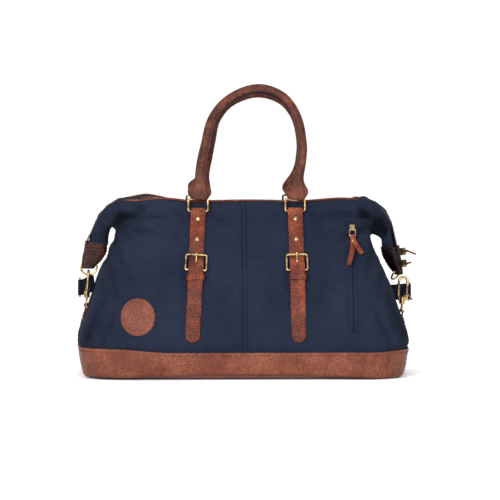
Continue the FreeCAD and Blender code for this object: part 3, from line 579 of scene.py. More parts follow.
# Hollows of the canvas darkened with painted shade: ends (x, z), darkness and half width.
PAINTED_SHADE_HOLLOWS = [
    ((172, 248), (205, 228), 0.75, 8), ((200, 230), (216, 206), 0.9, 12), ((190, 216), (200, 218), 0.7, 8),
    ((-184, 246), (-192, 222), 0.75, 10), ((-150, 250), (-184, 240), 0.45, 7),
    ((-198, 222), (-204, 204), 0.6, 9),
    ((-184, 222), (-170, 206), 0.4, 8), ((-172, 232), (-150, 222), 0.3, 8), ((182, 226), (160, 220), 0.3, 8),
    ((-236, 56), (-214, 92), 0.35, 8), ((238, 56), (218, 92), 0.35, 8),
]


def soft_line(x, z, start, end, width, bend):
    """How much of a soft wandering line from start to end lies over a place, from 0 to 1."""
    run = (end[0] - start[0], end[1] - start[1])
    length = math.hypot(*run)
    share = ((x - start[0]) * run[0] + (z - start[1]) * run[1]) / length ** 2
    away = ((x - start[0]) * run[1] - (z - start[1]) * run[0]) / length
    if not -0.25 < share < 1.25 or abs(away) > bend + 2.5 * width:
        return 0.0
    away -= bend * noise.noise(Vector((share * 2.2, start[0], 1.7)))
    return smooth(-0.25, 0.15, share) * smooth(1.25, 0.65, share) * bump(0, width, away)


def fold_depth(x, z):
    """Depth of the folds at a place on a face, each one tapering towards its ends."""
    return sum(depth * soft_line(x, z, start, end, width, 4.0) for start, end, depth, width in FOLDS)


def painted_crease_shade(x, z):
    """How much painted shade darkens the canvas at a place: in its folds and in the hollows by the wings."""
    total = 0.11 * max(0.0, fold_depth(x, z))
    total += sum(depth * soft_line(x, z, start, end, width, 5.0) for start, end, depth, width in PAINTED_SHADE_HOLLOWS)
    return min(0.92, total * (1 + 0.35 * noise.noise(Vector((x / 14, z / 14, 2)))))


def fabric_offset(point):
    """How far the canvas stands off its drawn surface: folds, sags and puckers, in millimetres."""
    x, y, z = point
    broad = noise.noise(Vector((x / 62, y / 62, z / 55))) * 2.2
    small = noise.noise(Vector((x / 21 + 7, y / 21, z / 30 + 3))) * 0.9
    shoulder = smooth(170, 235, z) * smooth(70, 150, abs(x))
    crumple = noise.noise(Vector((x / 15, y / 18 + 9, z / 9))) * 1.3 * (0.25 + shoulder)
    total = broad + small + crumple + 1.4 - 1.5 * fold_depth(x, z) * smooth(18, 34, abs(y))
    total += 2.4 * bump(66, 20, z) * bump(236, 26, x)
    seam = bump(0, 2.2, x) * smooth(40, 48, z) * smooth(258, 250, z)
    seam_side = bump(0, 7, x) * smooth(40, 48, z)
    total = total * (1 - 0.9 * seam_side) - 0.9 * seam
    strap = max(bump(-74, 22, x), bump(79, 20, x)) * smooth(45, 60, z)
    pocket = bump(POCKET_X, 9, x) * smooth(64, 74, z) * smooth(238, 228, z) if y < 0 else 0
    channel = smooth(16, 9, abs(y)) * smooth(150, 180, z)
    patch_away = math.hypot(x - PATCH[0], z - PATCH[1])
    under_patch = smooth(38, 29, patch_away) if y < 0 else 0
    calm = max(strap, pocket, channel, under_patch)
    tuck = smooth(54, 42, z)
    lift = relax(total * (1 - 0.85 * calm) * (1 - tuck), 0.35 if calm > 0.4 else 3.6)
    return max(-3.0 if tuck else -1.6, lift - 2.6 * tuck)


def remeshed(name, parts, voxel):
    """One closed skin from overlapping closed parts."""
    piece = bare_object(name, *merge(parts))
    modifier = piece.modifiers.new("Skin", "REMESH")
    modifier.mode = "VOXEL"
    modifier.voxel_size = voxel * MM
    ease = piece.modifiers.new("Ease", "SMOOTH")
    ease.factor = 0.5
    ease.iterations = 6
    bpy.context.view_layer.update()
    done = bpy.data.meshes.new_from_object(piece.evaluated_get(bpy.context.evaluated_depsgraph_get()))
    piece.modifiers.clear()
    piece.data = done
    done.name = name
    return piece


def canvas_shell():
    """Body and folded wings as one continuous skin, then its folds."""
    count = 220
    rings = []
    for height in np.concatenate([np.linspace(36, 60, 7), np.linspace(66, 250, 32),
                                  np.linspace(254, 261.5, 4)]):
        length, corner = shell_size(height)
        depth = float(half_depth(max(height, BAND_HEIGHT)))
        rings.append(section_ring(length, depth, min(corner, depth - 2), height, count))
    for inset, rise in ((4, 0.6), (12, 0.2), (24, -0.6), (32, -0.8)):
        length, corner = shell_size(TOP_HEIGHT)
        depth = float(half_depth(TOP_HEIGHT)) - inset
        rings.append(section_ring(length - inset, depth, min(corner, depth - 0.5), TOP_HEIGHT + rise, count))
    parts = [loft_data(rings)]
    for hand in HANDS:
        rows = wing_stations(hand, WINGS[hand], 34)
        parts.append(loft_data([wing_ring(hand, row, 64, groove=3.0) for row in rows]))
    shell = remeshed("canvas_shell", parts, 2.2)
    mesh = shell.data
    moved = []
    # Painted shade per vertex, read by the canvas material to darken its folds and hollows.
    shades = mesh.attributes.new("painted_shade", "FLOAT", "POINT")
    for index, vertex in enumerate(mesh.vertices):
        point = np.array(vertex.co) / MM
        shades.data[index].value = painted_crease_shade(point[0], point[2]) * smooth(8, 20, abs(point[1]))
        rise = crest(point[0]) * smooth(*WING_FADE, abs(point[0])) - sag(point[0], point[1])
        rise *= smooth(228, 262, point[2])
        moved.append(vertex.co + (vertex.normal * fabric_offset(point) + Vector((0, 0, rise))) * MM)
    for vertex, place in zip(mesh.vertices, moved):
        vertex.co = place
    nodes = [f"{side}_canvas_{hand}" for side in SIDES for hand in HANDS]
    nodes += ["gusset_left", "gusset_right", "wing_left", "wing_right"]
    finish_piece(shell, "canvas", nodes)


def lining():
    """Cotton lining: a closed skin well inside the canvas, ending below its slumped top."""
    rings = []
    for height in np.linspace(12, 246, 14):
        length, corner = shell_size(height)
        depth = float(half_depth(max(height, BAND_HEIGHT))) - LINING_GAP
        rings.append(section_ring(length - LINING_GAP, depth, min(corner, depth - 2), height, 120))
    make_object("lining_skin", *loft_data(rings), material="lining", replaced=["lining"], slot="lining")


# ---------------------------------------------------------------- leather base

BASE_LENGTH, BASE_DEPTH, BASE_INSET, BASE_CORNER = 247.5, 120.3, 8.5, 60


def base_lift(x, y):
    """Rise of the band's lower edge between the corners."""
    low = 3.0 if x < 0 else 0.0
    along = (low + (6.6 - low) * smooth(235, 60, abs(x))) * smooth(50, 100, abs(y))
    across = 2.5 * smooth(95, 30, abs(y)) * smooth(200, 235, abs(x))
    return along + across


def band_rise(x):
    """The band stands a little taller towards its left end."""
    return 6.0 * smooth(-105, -205, x) + 2.0 * smooth(190, 240, x)


def base_offset(x, y, z):
    """Soft belly and creases of the leather band."""
    wave = noise.noise(Vector((x / 34, y / 34, z / 60)))
    fine = noise.noise(Vector((x / 13, y / 13, z / 22 + 5)))
    total = 1.5 * wave + 0.5 * fine + 1.1 * bump(18, 13, z)
    corner = smooth(150, 200, abs(x))
    for place, depth in ((176, 1.5), (193, 1.1), (212, 1.8), (228, 1.3)):
        total -= corner * depth * bump(place + 0.12 * z, 2.6, abs(x))
    return total * smooth(43, 34, z)


def base_ring(height, inset, count):
    """Points of the band at a height, an inset in from its outside, with outward directions."""
    share = height / BAND_HEIGHT
    grow = BASE_INSET * (share - 1) - inset
    ring = section_ring(BASE_LENGTH + grow, BASE_DEPTH + grow, BASE_CORNER - min(inset, 30), height, count)
    along = np.roll(ring, -1, axis=0) - np.roll(ring, 1, axis=0)
    out = np.array([unit((t[1], -t[0], 0)) for t in along])
    moved = []
    for point, way in zip(ring, out):
        x, y, z = point
        rise = base_lift(x, y) * smooth(34, 0, z) * smooth(15, 2, inset)
        rise += band_rise(x) * max(0.0, z - 8) / (BAND_HEIGHT - 8)
        moved.append(point + way * base_offset(x, y, z) * (1 if inset < 4 else 0) + np.array([0, 0, rise]))
    return np.array(moved), out


def base_band():
    """Leather band and bottom: one section swept round the base, and a row of stitches."""
    profile = [(1.6, 60), (1.5, 30), (1.4, 16), (1.0, 9), (0.3, 5), (0.2, 3.6), (0.5, 2.6), (1.2, 1.5),
               (2.2, 0.7)]
    profile += [(height, 0) for height in np.arange(4, 38, 1.6)]
    profile += [(38.2, 0.1), (39, 0.15), (39.8, 0), (40.4, 0.3), (40.8, 0.8), (41, 1.3), (40.9, 1.8),
                (40.5, 2.3),
                (39.5, 2.6), (34, 2.6)]
    rings = [base_ring(height, inset, 900)[0] for height, inset in profile]
    make_object("base_leather_skin", *loft_data(rings), material="base_leather", replaced=["base_leather"],
                slot="leather")
    line, out = base_ring(36.6, 0, 400)
    closed = np.concatenate([line, line[:1]])

    def outward(point):
        return out[int(np.argmin(np.linalg.norm(line - point, axis=1)))]

    make_object("base_stitches", *stitch_data(closed, outward, width=0.8, lift=0.3), material="thread")


# ---------------------------------------------------------------- straps and keepers

RING_PLACE = (245, 5)
BUCKLE_HEIGHT = 172
# Strap centreline from its tip: height on the panel and lift off it.
STRAP_LINE = [(56, 1.9), (68, 1.9), (80, 1.9), (104, 2.0), (124, 4), (140, 5.9), (152, 10.2), (160, 11.2),
              (168, 9.4), (179, 2.6), (188, 2.2), (200, 4.6), (220, 4.8), (238, 5.1), (242.5, 7.2)]


def strap_x(hand, height):
    top, tip = STRAPS[hand]
    return top - (top - tip) * (RING_PLACE[0] - height) / (RING_PLACE[0] - STRAP_LINE[0][0])


def strap_point(side, hand, height, lift, offset=0.0):
    return on_panel(side, strap_x(hand, height) + offset, height, lift)


def strap_route():
    """Height and lift along the strap: from its tip up to the ring, over the bar and down behind."""
    front = spline(STRAP_LINE, 60)
    turns = np.radians(np.linspace(20, 180, 11))
    fold = np.stack([RING_PLACE[0] + 3.3 * np.sin(turns), RING_PLACE[1] + 3.3 * np.cos(turns)], axis=1)
    tail = np.array([(241, 1.75), (232, 1.75), (215, 1.75), (198, 1.75)])
    return np.concatenate([front, fold, tail])


def band_out(points, across):
    """Outward direction at each point of a band whose width lies along across."""
    along = tangents(points)
    return np.array([unit(np.cross(across, step)) for step in along])


def strap(side, hand):
    route = strap_route()
    points = np.array([strap_point(side, hand, h, lift) for h, lift in route])
    run = distances(points)
    half = STRAP_WIDTH / 2
    # The rounded tip needs a few more rows close to its end.
    early = half * (1 - np.cos(np.radians([0, 12, 25, 40, 55, 70, 85])))
    where = np.concatenate([early, run[run > half + 1]])
    points = np.stack([np.interp(where, run, points[:, k]) for k in range(3)], axis=1)
    width = np.where(where < half, 2 * np.sqrt(np.maximum(0.4, half ** 2 - (half - where) ** 2)), STRAP_WIDTH)
    thick = np.where(where < 2, 1.6 + 0.6 * where, LEATHER)
    out = band_out(points, (-SIDES[side], 0, 0))
    body = swept(points, width, thick, out, power=6.0, count=36)
    smoothed(make_object(f"{side}_strap_{hand}_skin", *body, material="leather",
                         replaced=[f"{side}_strap_{hand}"], slot="leather"))
    inset = half - 2.1
    edge = [(h, lift + 1.45) for h, lift in spline(STRAP_LINE, 90) if 68 <= h <= 238]
    curve = [np.array(strap_point(side, hand, h, lift, offset)) for h, lift, offset in
             [(STRAP_LINE[0][0] + half - inset * math.cos(t), 3.35, -inset * math.sin(t))
              for t in np.radians(np.linspace(-90, 90, 15))]]
    left = [np.array(strap_point(side, hand, h, lift, -inset)) for h, lift in edge]
    right = [np.array(strap_point(side, hand, h, lift, inset)) for h, lift in edge[::-1]]
    line = np.array(right + curve + left)
    facing = panel_out(side, 150)
    stitches = stitch_data(line, facing, step=3.4, length=2.3, width=0.6, lift=0.1)
    make_object(f"{side}_strap_{hand}_stitches", *stitches, material="thread")


def keeper(side, hand):
    """Leather band round the strap just below its buckle."""
    height = BUCKLE_HEIGHT - 22.5
    half, low, high = 12.35, 0.6, 13.4
    corners = round_outline(2 * half, high - low, 5.0, 40)
    centre = (low + high) / 2
    points = np.array([strap_point(side, hand, height, centre + b, a) for a, b in corners])
    along = np.roll(points, -1, axis=0) - np.roll(points, 1, axis=0)
    up = unit(strap_point(side, hand, height + 5, 0) - strap_point(side, hand, height - 5, 0))
    rings = []
    for point, step in zip(points, along):
        normal = unit(np.cross(up, step))
        rings.append(oriented_ring(point, up, normal, round_outline(9, 2.0, 6.0, 20)))
    vertices = np.array(rings).reshape(-1, 3)
    faces = grid_faces(len(rings), 20)
    last = (len(rings) - 1) * 20
    faces += [(last + j, last + (j + 1) % 20, (j + 1) % 20, j) for j in range(20)]
    return list(vertices), faces


def heel_tab(side, hand):
    points = np.array([strap_point(side, hand, h, lift) for h, lift in
                       ((129, 1.3), (137, 1.4), (145, 1.5), (152, 1.8), (157.5, 2.4))])
    return swept(points, 20, 2, band_out(points, (-SIDES[side], 0, 0)), power=6.0, count=28)


def straps():
    keepers, tabs = [], []
    for side in SIDES:
        for hand in HANDS:
            strap(side, hand)
            keepers.append(keeper(side, hand))
            tabs.append(heel_tab(side, hand))
    smoothed(make_object("keeper_skins", *merge(keepers), material="leather", replaced=["strap_keepers"],
                         slot="leather"))
    make_object("heel_tab_skins", *merge(tabs), material="leather", replaced=["heel_tabs"], slot="leather")


# ---------------------------------------------------------------- patch


def patch():
    """Round leather patch: domed, with a pressed rim line and a stitched edge."""
    x, height = PATCH
    profile = [(0, 2.1), (8, 2.1), (16, 2.1), (20.3, 2.0), (21.6, 1.2), (22.9, 2.0), (24.2, 2.3),
               (26.4, 2.05),
               (27.5, 1.5), (27.9, 0.8), (27.9, 0.1)]
    count = 72

    def rim(radius, turn, lift):
        return on_panel("front", x + 0.92 * radius * math.cos(turn), height + radius * math.sin(turn), lift)

    vertices = [rim(radius, turn, 0.4 + lift) for radius, lift in profile[1:] for turn in circle(count)]
    faces = grid_faces(len(profile) - 1, count)
    faces += [(len(vertices), (j + 1) % count, j) for j in range(count)]
    vertices.append(on_panel("front", x, height, 0.4 + profile[0][1]))
    smoothed(make_object("round_patch_skin", vertices, faces, material="base_leather",
                         replaced=["round_patch"], slot="leather"))
    ring = np.array([rim(25.2, turn, 2.5) for turn in np.linspace(0, 2 * math.pi, count + 1)])
    stitches = stitch_data(ring, panel_out("front", height), step=3.3, length=2.2, width=0.6, lift=0.12)
    make_object("round_patch_stitches", *stitches, material="thread")


# ---------------------------------------------------------------- handles

HANDLE_LINE = [(-64.6, 290), (-61.5, 318), (-56, 349), (-45, 386), (-18, 415), (22, 429),
               (58, 418), (80, 389), (88.5, 350), (87, 318), (80.4, 290)]
HANDLE_TOP_Y = 9
RING_LEAN = math.radians(75)
RING_RISE = 18.3
# Half width, half thickness and squareness of the handle, by distance above the ring's bar.
HANDLE_SHAPE = [(-1.5, 12.2, 3.6, 3), (1, 12.4, 3.6, 4), (4, 14.6, 3.1, 5), (7.5, 17.2, 3.0, 5),
                (11, 18.0, 3.0, 5),
                (15, 17.4, 3.1, 4.5), (19, 15.4, 3.5, 4), (24, 12.2, 4.4, 3), (30, 9.2, 5.6, 2.4),
                (38, 7.3, 6.5, 2),
                (48, 6.75, 6.6, 2)]
# Half width of the fold lying over a handle's foot, by distance above the ring's bar.
FOOT_FOLD = [(-1.5, 12.5), (5, 12.6), (12, 11.2), (20, 9.0), (30, 7.0), (44, 6.0)]


def upper_bar(side):
    """Height and y of a ring's upper bar."""
    _, y, z = on_panel("front", 0, *RING_PLACE)
    y += RING_RISE * math.cos(RING_LEAN)
    z += RING_RISE * math.sin(RING_LEAN)
    return -SIDES[side] * y, z


def handle_route(side):
    bar_y, bar_z = upper_bar(side)
    top = max(z for _, z in HANDLE_LINE)
    shift, drop = (0, 0) if side == "front" else (10, -8)
    left, right = STRAPS["left"][0], STRAPS["right"][0]
    points = [(left + 1.4, bar_y, bar_z - 1.5), (left + 1.8, bar_y, bar_z + 4)]
    for x, z in HANDLE_LINE:
        share = (z - bar_z) / (top - bar_z)
        y = bar_y + (SIDES[side] * HANDLE_TOP_Y - bar_y) * share
        inward = shift * math.sin(math.pi * share ** 0.8) * smooth(30, -20, x)
        points.append((x + inward, y, z + drop * max(0, share) ** 2))
    points += [(right + 1.6, bar_y, bar_z + 4), (right + 1.2, bar_y, bar_z - 1.5)]
    return np.array(points)


def handle(side):
    line = spline(handle_route(side), 190)
    run = distances(line)
    ends = np.minimum(run, run[-1] - run) - 1.5
    shape = np.array(HANDLE_SHAPE, float)
    wide, deep, power = (np.interp(ends, shape[:, 0], shape[:, k]) for k in (1, 2, 3))
    lean = unit(line[len(line) // 2] * (0, 1, 1) - line[0] * (0, 1, 1))
    facing = unit(np.cross(lean, (1, 0, 0)))
    facing = facing * math.copysign(1, facing[1] * SIDES[side])
    along = tangents(line)
    rings = []
    for index, point in enumerate(line):
        across = unit(np.cross(facing, along[index]))
        height = ends[index]
        flap = smooth(44, 20, height) * smooth(0, 5, height)
        swell = 1 + 0.035 * noise.noise(Vector(point / 19)) * smooth(30, 60, height)
        fold = np.interp(height, *np.array(FOOT_FOLD, float).T)
        p = 2 / power[index]
        ring = []
        for turn in circle(88):
            c, s = math.cos(turn), math.sin(turn)
            a = wide[index] * math.copysign(abs(c) ** p, c)
            b = deep[index] * math.copysign(abs(s) ** p, s)
            step = 1.5 * smooth(fold + 0.8, fold - 0.6, abs(a)) + 0.9 * bump(fold - 1.6, 1.3, abs(a))
            ridge = flap * step * (1 if s > 0 else -0.4)
            seam = 0.45 * smooth(30, 44, height) * bump(-0.95, 0.13, c) * (1 - 0.4 * abs(s)) if c < 0 else 0
            ring.append(point + (across * (a + seam) + facing * (b + ridge)) * swell)
        rings.append(ring)
    smoothed(make_object(f"{side}_handle_skin", *loft_data(rings), body=f"{side}_handle",
                         material="handle_leather", replaced=[f"{side}_handle_cover"], slot="leather"))
    stitches = []
    for first, last in ((4, 46), (len(line) - 46, len(line) - 4)):
        for edge in (-1, 1):
            path = []
            for index in range(first, last):
                if 2 <= ends[index] <= 34:
                    across = unit(np.cross(facing, along[index]))
                    reach = max(0.0, wide[index] - 2.4)
                    path.append(line[index] + across * edge * reach + facing * (deep[index] - 0.1))
            stitches.append(stitch_data(np.array(path), facing, step=3.3, length=2.2, width=0.6, lift=0.15))
    make_object(f"{side}_handle_stitches", *merge(stitches), body=f"{side}_handle", material="thread")


# ---------------------------------------------------------------- piping, tapes and zips

ZIP_RISE = -1.2


def piping():
    """Leather cord along both top edges and down the outer corners of the wings."""
    for side, sign in SIDES.items():
        edge = float(half_depth(TOP_HEIGHT)) - 0.8
        top = [(x, sign * edge, TOP_HEIGHT + 1.6 + crest(x) - sag(x, sign * edge))
               for x in range(-160, 161, 16)]
        tails = {}
        for hand in HANDS:
            rows = [row for row in wing_stations(hand, WINGS[hand], 26)[6:] if row[0] < 212]
            points = []
            for row in rows:
                share = 0.93 - 0.6 * smooth(172, 194, row[0])
                place = wing_point(hand, row, 1.0, sign * (row[4] * share))
                middle = wing_point(hand, row, 0.5, 0)
                sunk = 6.5 * smooth(172, 192, row[0])
                points.append(place + unit(place - middle) * (0.4 - sunk))
            tails[hand] = points
        line = tails["left"][::-1] + top + tails["right"]
        path = spline(line, 260)
        cord = swept(path, PIPING_WIDTH, PIPING_WIDTH, unit((0, sign * 0.6, 1)), 2.0, 14)
        make_object(f"piping_{side}_skin", *cord, material="leather", replaced=[f"piping_{side}"],
                    slot="leather")


def zip_route(offset, count=240):
    """Main zip's line from the left wing's end over the top to the right wing's end."""
    points = []
    for hand in HANDS:
        rows = wing_stations(hand, WINGS[hand][:-1] + ENDS[hand], 30)[5:22]
        run = []
        for row in rows:
            edge = wing_point(hand, row, 1.0, 0)
            run.append(edge + unit(edge - wing_point(hand, row, 0.5, 0)) * (ZIP_RISE + offset))
        points.append(run)
    crown = [np.array((x, 0, TOP_HEIGHT + 1.1 + crest(x) - sag(x, 0) + offset))
             for x in np.linspace(-144, 144, 19)]
    return spline(points[0][::-1] + crown + points[1], count)


def zip_out(path):
    """Direction away from the bag at each point of the zip's line."""
    along = tangents(path)
    return np.array([unit(np.cross(step, (0, 1, 0))) * -1 for step in along])


def zip_teeth(path, out, pitch, width, length, height):
    """Two rows of interlocked metal teeth along a line."""
    count = int(path_length(path) / pitch)
    line = spline(np.concatenate([path, out], axis=1), count)
    centres, facing = line[:, :3], line[:, 3:]
    along = tangents(centres)
    parts = []
    for index in range(count):
        up = unit(facing[index])
        across = unit(np.cross(up, along[index]))
        sign = 1 if index % 2 else -1
        rings = []
        for reach, scale in ((-width * 0.35, 0.6), (-width * 0.25, 0.95), (width * 0.9, 1.0), (width, 0.8)):
            outline = round_outline(length * scale, height * scale, 5.0, 8)
            rings.append(oriented_ring(centres[index] + across * sign * reach, along[index], up, outline))
        parts.append(loft_data(rings))
    return merge(parts)


def main_zip():
    path = zip_route(0.0)
    out = zip_out(path)
    make_object("main_zip_teeth", *zip_teeth(path, out, 1.9, 1.9, 1.25, 2.0), material="teeth",
                replaced=["main_zip_chain"], slot="zip_teeth")
    under = spline(zip_route(-1.4), 200)
    facing = zip_out(under)
    tapes = [swept(under + (0, sign * 6.3, 0), 10.8, 0.9, facing, power=8.0, count=40) for sign in (-1, 1)]
    make_object("main_zip_tape_skins", *merge(tapes), material="tape", replaced=["main_zip_tapes"],
                slot="webbing")


# ---------------------------------------------------------------- wing ends, side tabs and loops


def wing_end(hand):
    """Leather end sewn over a wing's point, folded round its D-ring's bar; its colour is darkened with
    painted shade, the right end most.
    """
    rows = wing_stations(hand, ENDS[hand], 30)
    count = 48
    rings = []
    for index, row in enumerate(rows):
        ring = np.array(wing_ring(hand, row, count, square=0.55, grow=0.9))
        middle = ring.mean(axis=0)
        grow = 1.0 + 0.02 * math.sin(index * 1.7)
        rings.append(middle + (ring - middle) * grow)
    rings = np.array(rings)
    top = rings[0]
    middle = top.mean(axis=0)
    rings = np.concatenate([[middle + (top - middle) * 0.93], rings])
    for i in range(len(rings)):
        centre = rings[i].mean(axis=0)
        for j in range(count):
            point = rings[i][j]
            dent = 0.8 * noise.noise(Vector(point / 12)) + 0.35 * noise.noise(Vector(point / 5))
            rings[i][j] = point + unit(point - centre) * dent
    # Painted shade: the right end takes the near-black leather, the left the darker brown.
    shade = "shaded_brown_end_leather" if hand == "left" else "shadowed_end_leather"
    piece = make_object(f"wing_end_{hand}_skin", *loft_data(rings), material=shade,
                        replaced=[f"wing_end_{hand}"], slot="leather")
    smoothed(piece)
    stitches = []
    for row_index in (2, 3):
        ring = rings[row_index]
        centre = ring.mean(axis=0)
        closed = np.concatenate([ring, ring[:1]])

        def outward(point, centre=centre):
            return unit(point - centre)

        stitches.append(stitch_data(closed, outward, step=3.4, length=2.2, width=0.6, lift=0.5))
    make_object(f"wing_end_{hand}_stitches", *merge(stitches), material="thread")


HOOK_BARS = {"left": (234.6, 0, 104), "right": (238.6, -3, 93.5)}
LOOPS = {"left": (128, 243.5), "right": (121, 252)}
LOOP_Y = 33


def hook_tabs():
    """Leather tabs sewn to the sides, each folded round a hook's swivel eye."""
    parts, stitches = [], []
    for hand, sign in HANDS.items():
        out_x, y, up = HOOK_BARS[hand]
        length = float(shell_size(up - 24)[0])
        low = np.array([length + 1.6, up - 24])
        high = np.array([out_x - 2.9, up - 1])
        path = [low + (high - low) * share for share in np.linspace(0, 1, 9)]
        turns = np.radians(np.linspace(190, -60, 16))
        path += [np.array([out_x, up]) + 2.75 * np.array([math.cos(t), math.sin(t)]) for t in turns]
        path += [high + (low - high) * 0.25 + np.array([2.2, 0]),
                 high + (low - high) * 0.7 + np.array([2.0, 0])]
        points = np.array([(sign * a, y, b) for a, b in path])
        parts.append(swept(points, 10.4, 2.0, band_out(points, (0, -sign, 0)), power=6.0, count=28))
        for edge in (-1, 1):
            line = np.array([(sign * (a + 3.3), y + edge * 3.9, b) for a, b in path[1:7]])
            stitches.append(stitch_data(line, (sign, 0, 0.3), step=3.2, length=2.1, width=0.6, lift=0.2))
    make_object("hook_tab_skins", *merge(parts), material="leather", replaced=["hook_tabs"], slot="leather")
    make_object("hook_tab_stitches", *merge(stitches), material="thread")


def side_loops():
    """Folded webbing that carries each side's rectangular ring."""
    parts, stitches = [], []
    for hand, sign in HANDS.items():
        height, out_x = LOOPS[hand]
        root = float(shell_size(height)[0]) + 0.4
        turns = np.radians(np.linspace(150, -150, 19))
        path = [(root, 1.1), (root + 3, 0.95), ((root + out_x) / 2, 0.95), (out_x - 4.5, 1.0)]
        path += [(out_x + 2.3 * math.cos(t), 2.3 * math.sin(t)) for t in turns]
        path += [(out_x - 4.5, -1.0), ((root + out_x) / 2, -0.95), (root + 3, -0.95), (root, -1.1)]
        droop = {"left": 7.0, "right": -2.0}[hand]
        points = np.array([(sign * a, LOOP_Y + b, height + droop * smooth(out_x - 3, root, a)) for a,
                           b in path])
        parts.append(swept(points, 23.5, 1.5, band_out(points, (0, 0, sign)), power=5.0, count=32))
        for edge in (-1, 1):
            line = np.array([(sign * x, LOOP_Y - 1.75, height + edge * 9 + droop * smooth(out_x - 3, root, x))
                             for x in np.linspace(root + 2, out_x - 5, 5)])
            stitches.append(stitch_data(line, (0, -1, 0), step=2.6, length=1.8, width=0.5, lift=0.1))
    make_object("side_loop_skins", *merge(parts), material="webbing", replaced=["side_loops"], slot="webbing")
    make_object("side_loop_stitches", *merge(stitches), material="navy_thread")


# ---------------------------------------------------------------- pocket and pulls


def panel_path(x, low, high, lift, count=40):
    return np.array([on_panel("front", x, h, lift) for h in np.linspace(low, high, count)])


def pocket():
    """Vertical zip: folded canvas welts, tape, fine teeth and edge stitching."""
    welts = []
    for side in (-1, 1):
        path = panel_path(POCKET_X + side * 3.5, POCKET_LOW - 3, POCKET_HIGH + 3, 0.75)
        out = np.array([panel_out("front", h) for h in np.linspace(POCKET_LOW - 3, POCKET_HIGH + 3, 40)])
        welts.append(swept(path, 4.8, 1.7, out, power=3.0, count=24))
    make_object("pocket_welt_skins", *merge(welts), material="canvas", replaced=["pocket_welts"],
                slot="canvas")
    out = np.array([panel_out("front", h) for h in np.linspace(POCKET_LOW + 1, POCKET_HIGH - 1, 40)])
    tape = swept(panel_path(POCKET_X, POCKET_LOW + 1, POCKET_HIGH - 1, -0.7), 5.6, 0.8, out, power=6.0,
                 count=20)
    teeth = zip_teeth(panel_path(POCKET_X, POCKET_LOW + 2, POCKET_HIGH - 2, 0.35), out, 1.5, 1.35, 1.0, 1.2)
    make_object("pocket_tape_skin", *tape, material="tape", slot="webbing")
    make_object("pocket_teeth", *teeth, material="tape", replaced=["pocket_zip"], slot="zip_teeth")
    lines = []
    for side in (-1, 1):
        path = panel_path(POCKET_X + side * 4.9, POCKET_LOW - 1, POCKET_HIGH + 1, 1.15)
        lines.append(stitch_data(path, panel_out("front", 150), step=2.6, length=1.9, width=0.4, lift=0.1))
    make_object("pocket_stitches", *merge(lines), material="navy_thread")


def centre_seam():
    """Two rows of stitches either side of each panel's middle seam."""
    lines = []
    for side in SIDES:
        heights = np.linspace(46, 258, 60)
        for offset in (-3.4, 3.4):
            path = np.array([on_panel(side, offset, h, 1.0) for h in heights])
            lines.append(stitch_data(path, panel_out(side, 150), step=3.0, length=2.2, width=0.7, lift=0.2))
    make_object("centre_seam_stitches", *merge(lines), material="navy_thread")


def leather_tail(frame_matrix, path, widths, thickness):
    """A flat thong in a hinge's local frame, width across local x."""
    path = spline(path, 22)
    local = swept(path, np.interp(np.linspace(0, 1, len(path)), np.linspace(0, 1, len(widths)), widths),
                  thickness,
                  band_out(path, (1, 0, 0)), power=5.0, count=24)
    vertices = [np.array(frame_matrix @ Vector((*v, 1.0)))[:3] for v in local[0]]
    return vertices, local[1]


def hinge_frame(joint, x_axis, out):
    """Local frame on a joint's pivot: x along its pin, z outwards."""
    origin = Vector(JOINTS[joint]["pos_m"]) / MM
    x = Vector(x_axis).normalized()
    z = (Vector(out) - x * Vector(out).dot(x)).normalized()
    y = z.cross(x)
    matrix = Matrix((x, y, z)).transposed().to_4x4()
    matrix.translation = origin
    return matrix


def pulls():
    """Leather thongs of the three zip pulls."""
    sideways = hinge_frame("pocket_pull_swing", (1, 0, 0), panel_out("front", 221))
    turns = np.radians(np.linspace(-100, 110, 12))
    eye = [(0, -11 + 1.75 * math.cos(t + math.pi / 2), 1 + 1.75 * math.sin(t + math.pi / 2)) for t in turns]
    front = [(0, -12.6, 2.9), (1.2, -18, 3.0), (4.6, -26, 3.6), (9.0, -34, 3.8), (13.2, -41.5, 3.2)]
    rear = [(0, -12.6, -0.5), (0.6, -20, -0.2), (-0.6, -32, 0.5), (-3.2, -45, 0.6), (-6.6, -59, 0.3)]
    parts = [leather_tail(sideways, front, [6.4, 7.6, 7.8, 7.4, 6.4], 1.5),
             leather_tail(sideways, rear, [6.4, 7.6, 7.8, 7.4, 6.2], 1.5),
             leather_tail(sideways, eye, [6.2, 6.2], 1.4)]
    rivet = round_outline(3.8, 3.8, 2.0, 16)
    head = [oriented_ring((0, -20.5, z), (1, 0, 0), (0, 1, 0), rivet * k)
            for z, k in ((3.2, 1.0), (4.0, 0.98), (4.5, 0.75), (4.7, 0.3))]
    make_object("pocket_pull_skin", *merge(parts), body="pocket_pull", material="leather",
                replaced=["pocket_pull"], slot="leather")
    vertices, faces = loft_data(head)
    make_object("pocket_pull_rivet", [np.array(sideways @ Vector((*v, 1)))[:3] for v in vertices], faces,
                body="pocket_pull", material="brass", slot="antique_brass")
    tails = {"upper": [(0, 1.2, 1.6), (0, -1, 4.5), (0, -3, 8), (0, -5.3, 12.5), (0, -8, 17)],
             "lower": [(0, 1.0, 1.6), (0, 0.8, 4), (0, 1, 7), (0, 3, 11)]}
    for name, path in tails.items():
        joint = JOINTS[f"main_pull_{name}_swing"]
        low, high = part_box(f"main_slider_{name}")
        out = Vector(joint["pos_m"]) - (low + high) / 2
        local = hinge_frame(f"main_pull_{name}_swing", joint["axis"], out)
        loop = [(0, 1.65 * math.sin(t), 1.65 * math.cos(t)) for t in np.radians(np.linspace(20, 340, 16))]
        parts = [leather_tail(local, path, [4.4, 4.8, 5.0, 4.8, 4.2], 2.0),
                 leather_tail(local, loop, [4.4, 4.4], 1.3)]
        make_object(f"main_pull_{name}_skin", *merge(parts), body=f"main_pull_{name}", material="leather",
                    replaced=[f"main_pull_{name}"], slot="leather")


# ---------------------------------------------------------------- hardware and hidden pieces


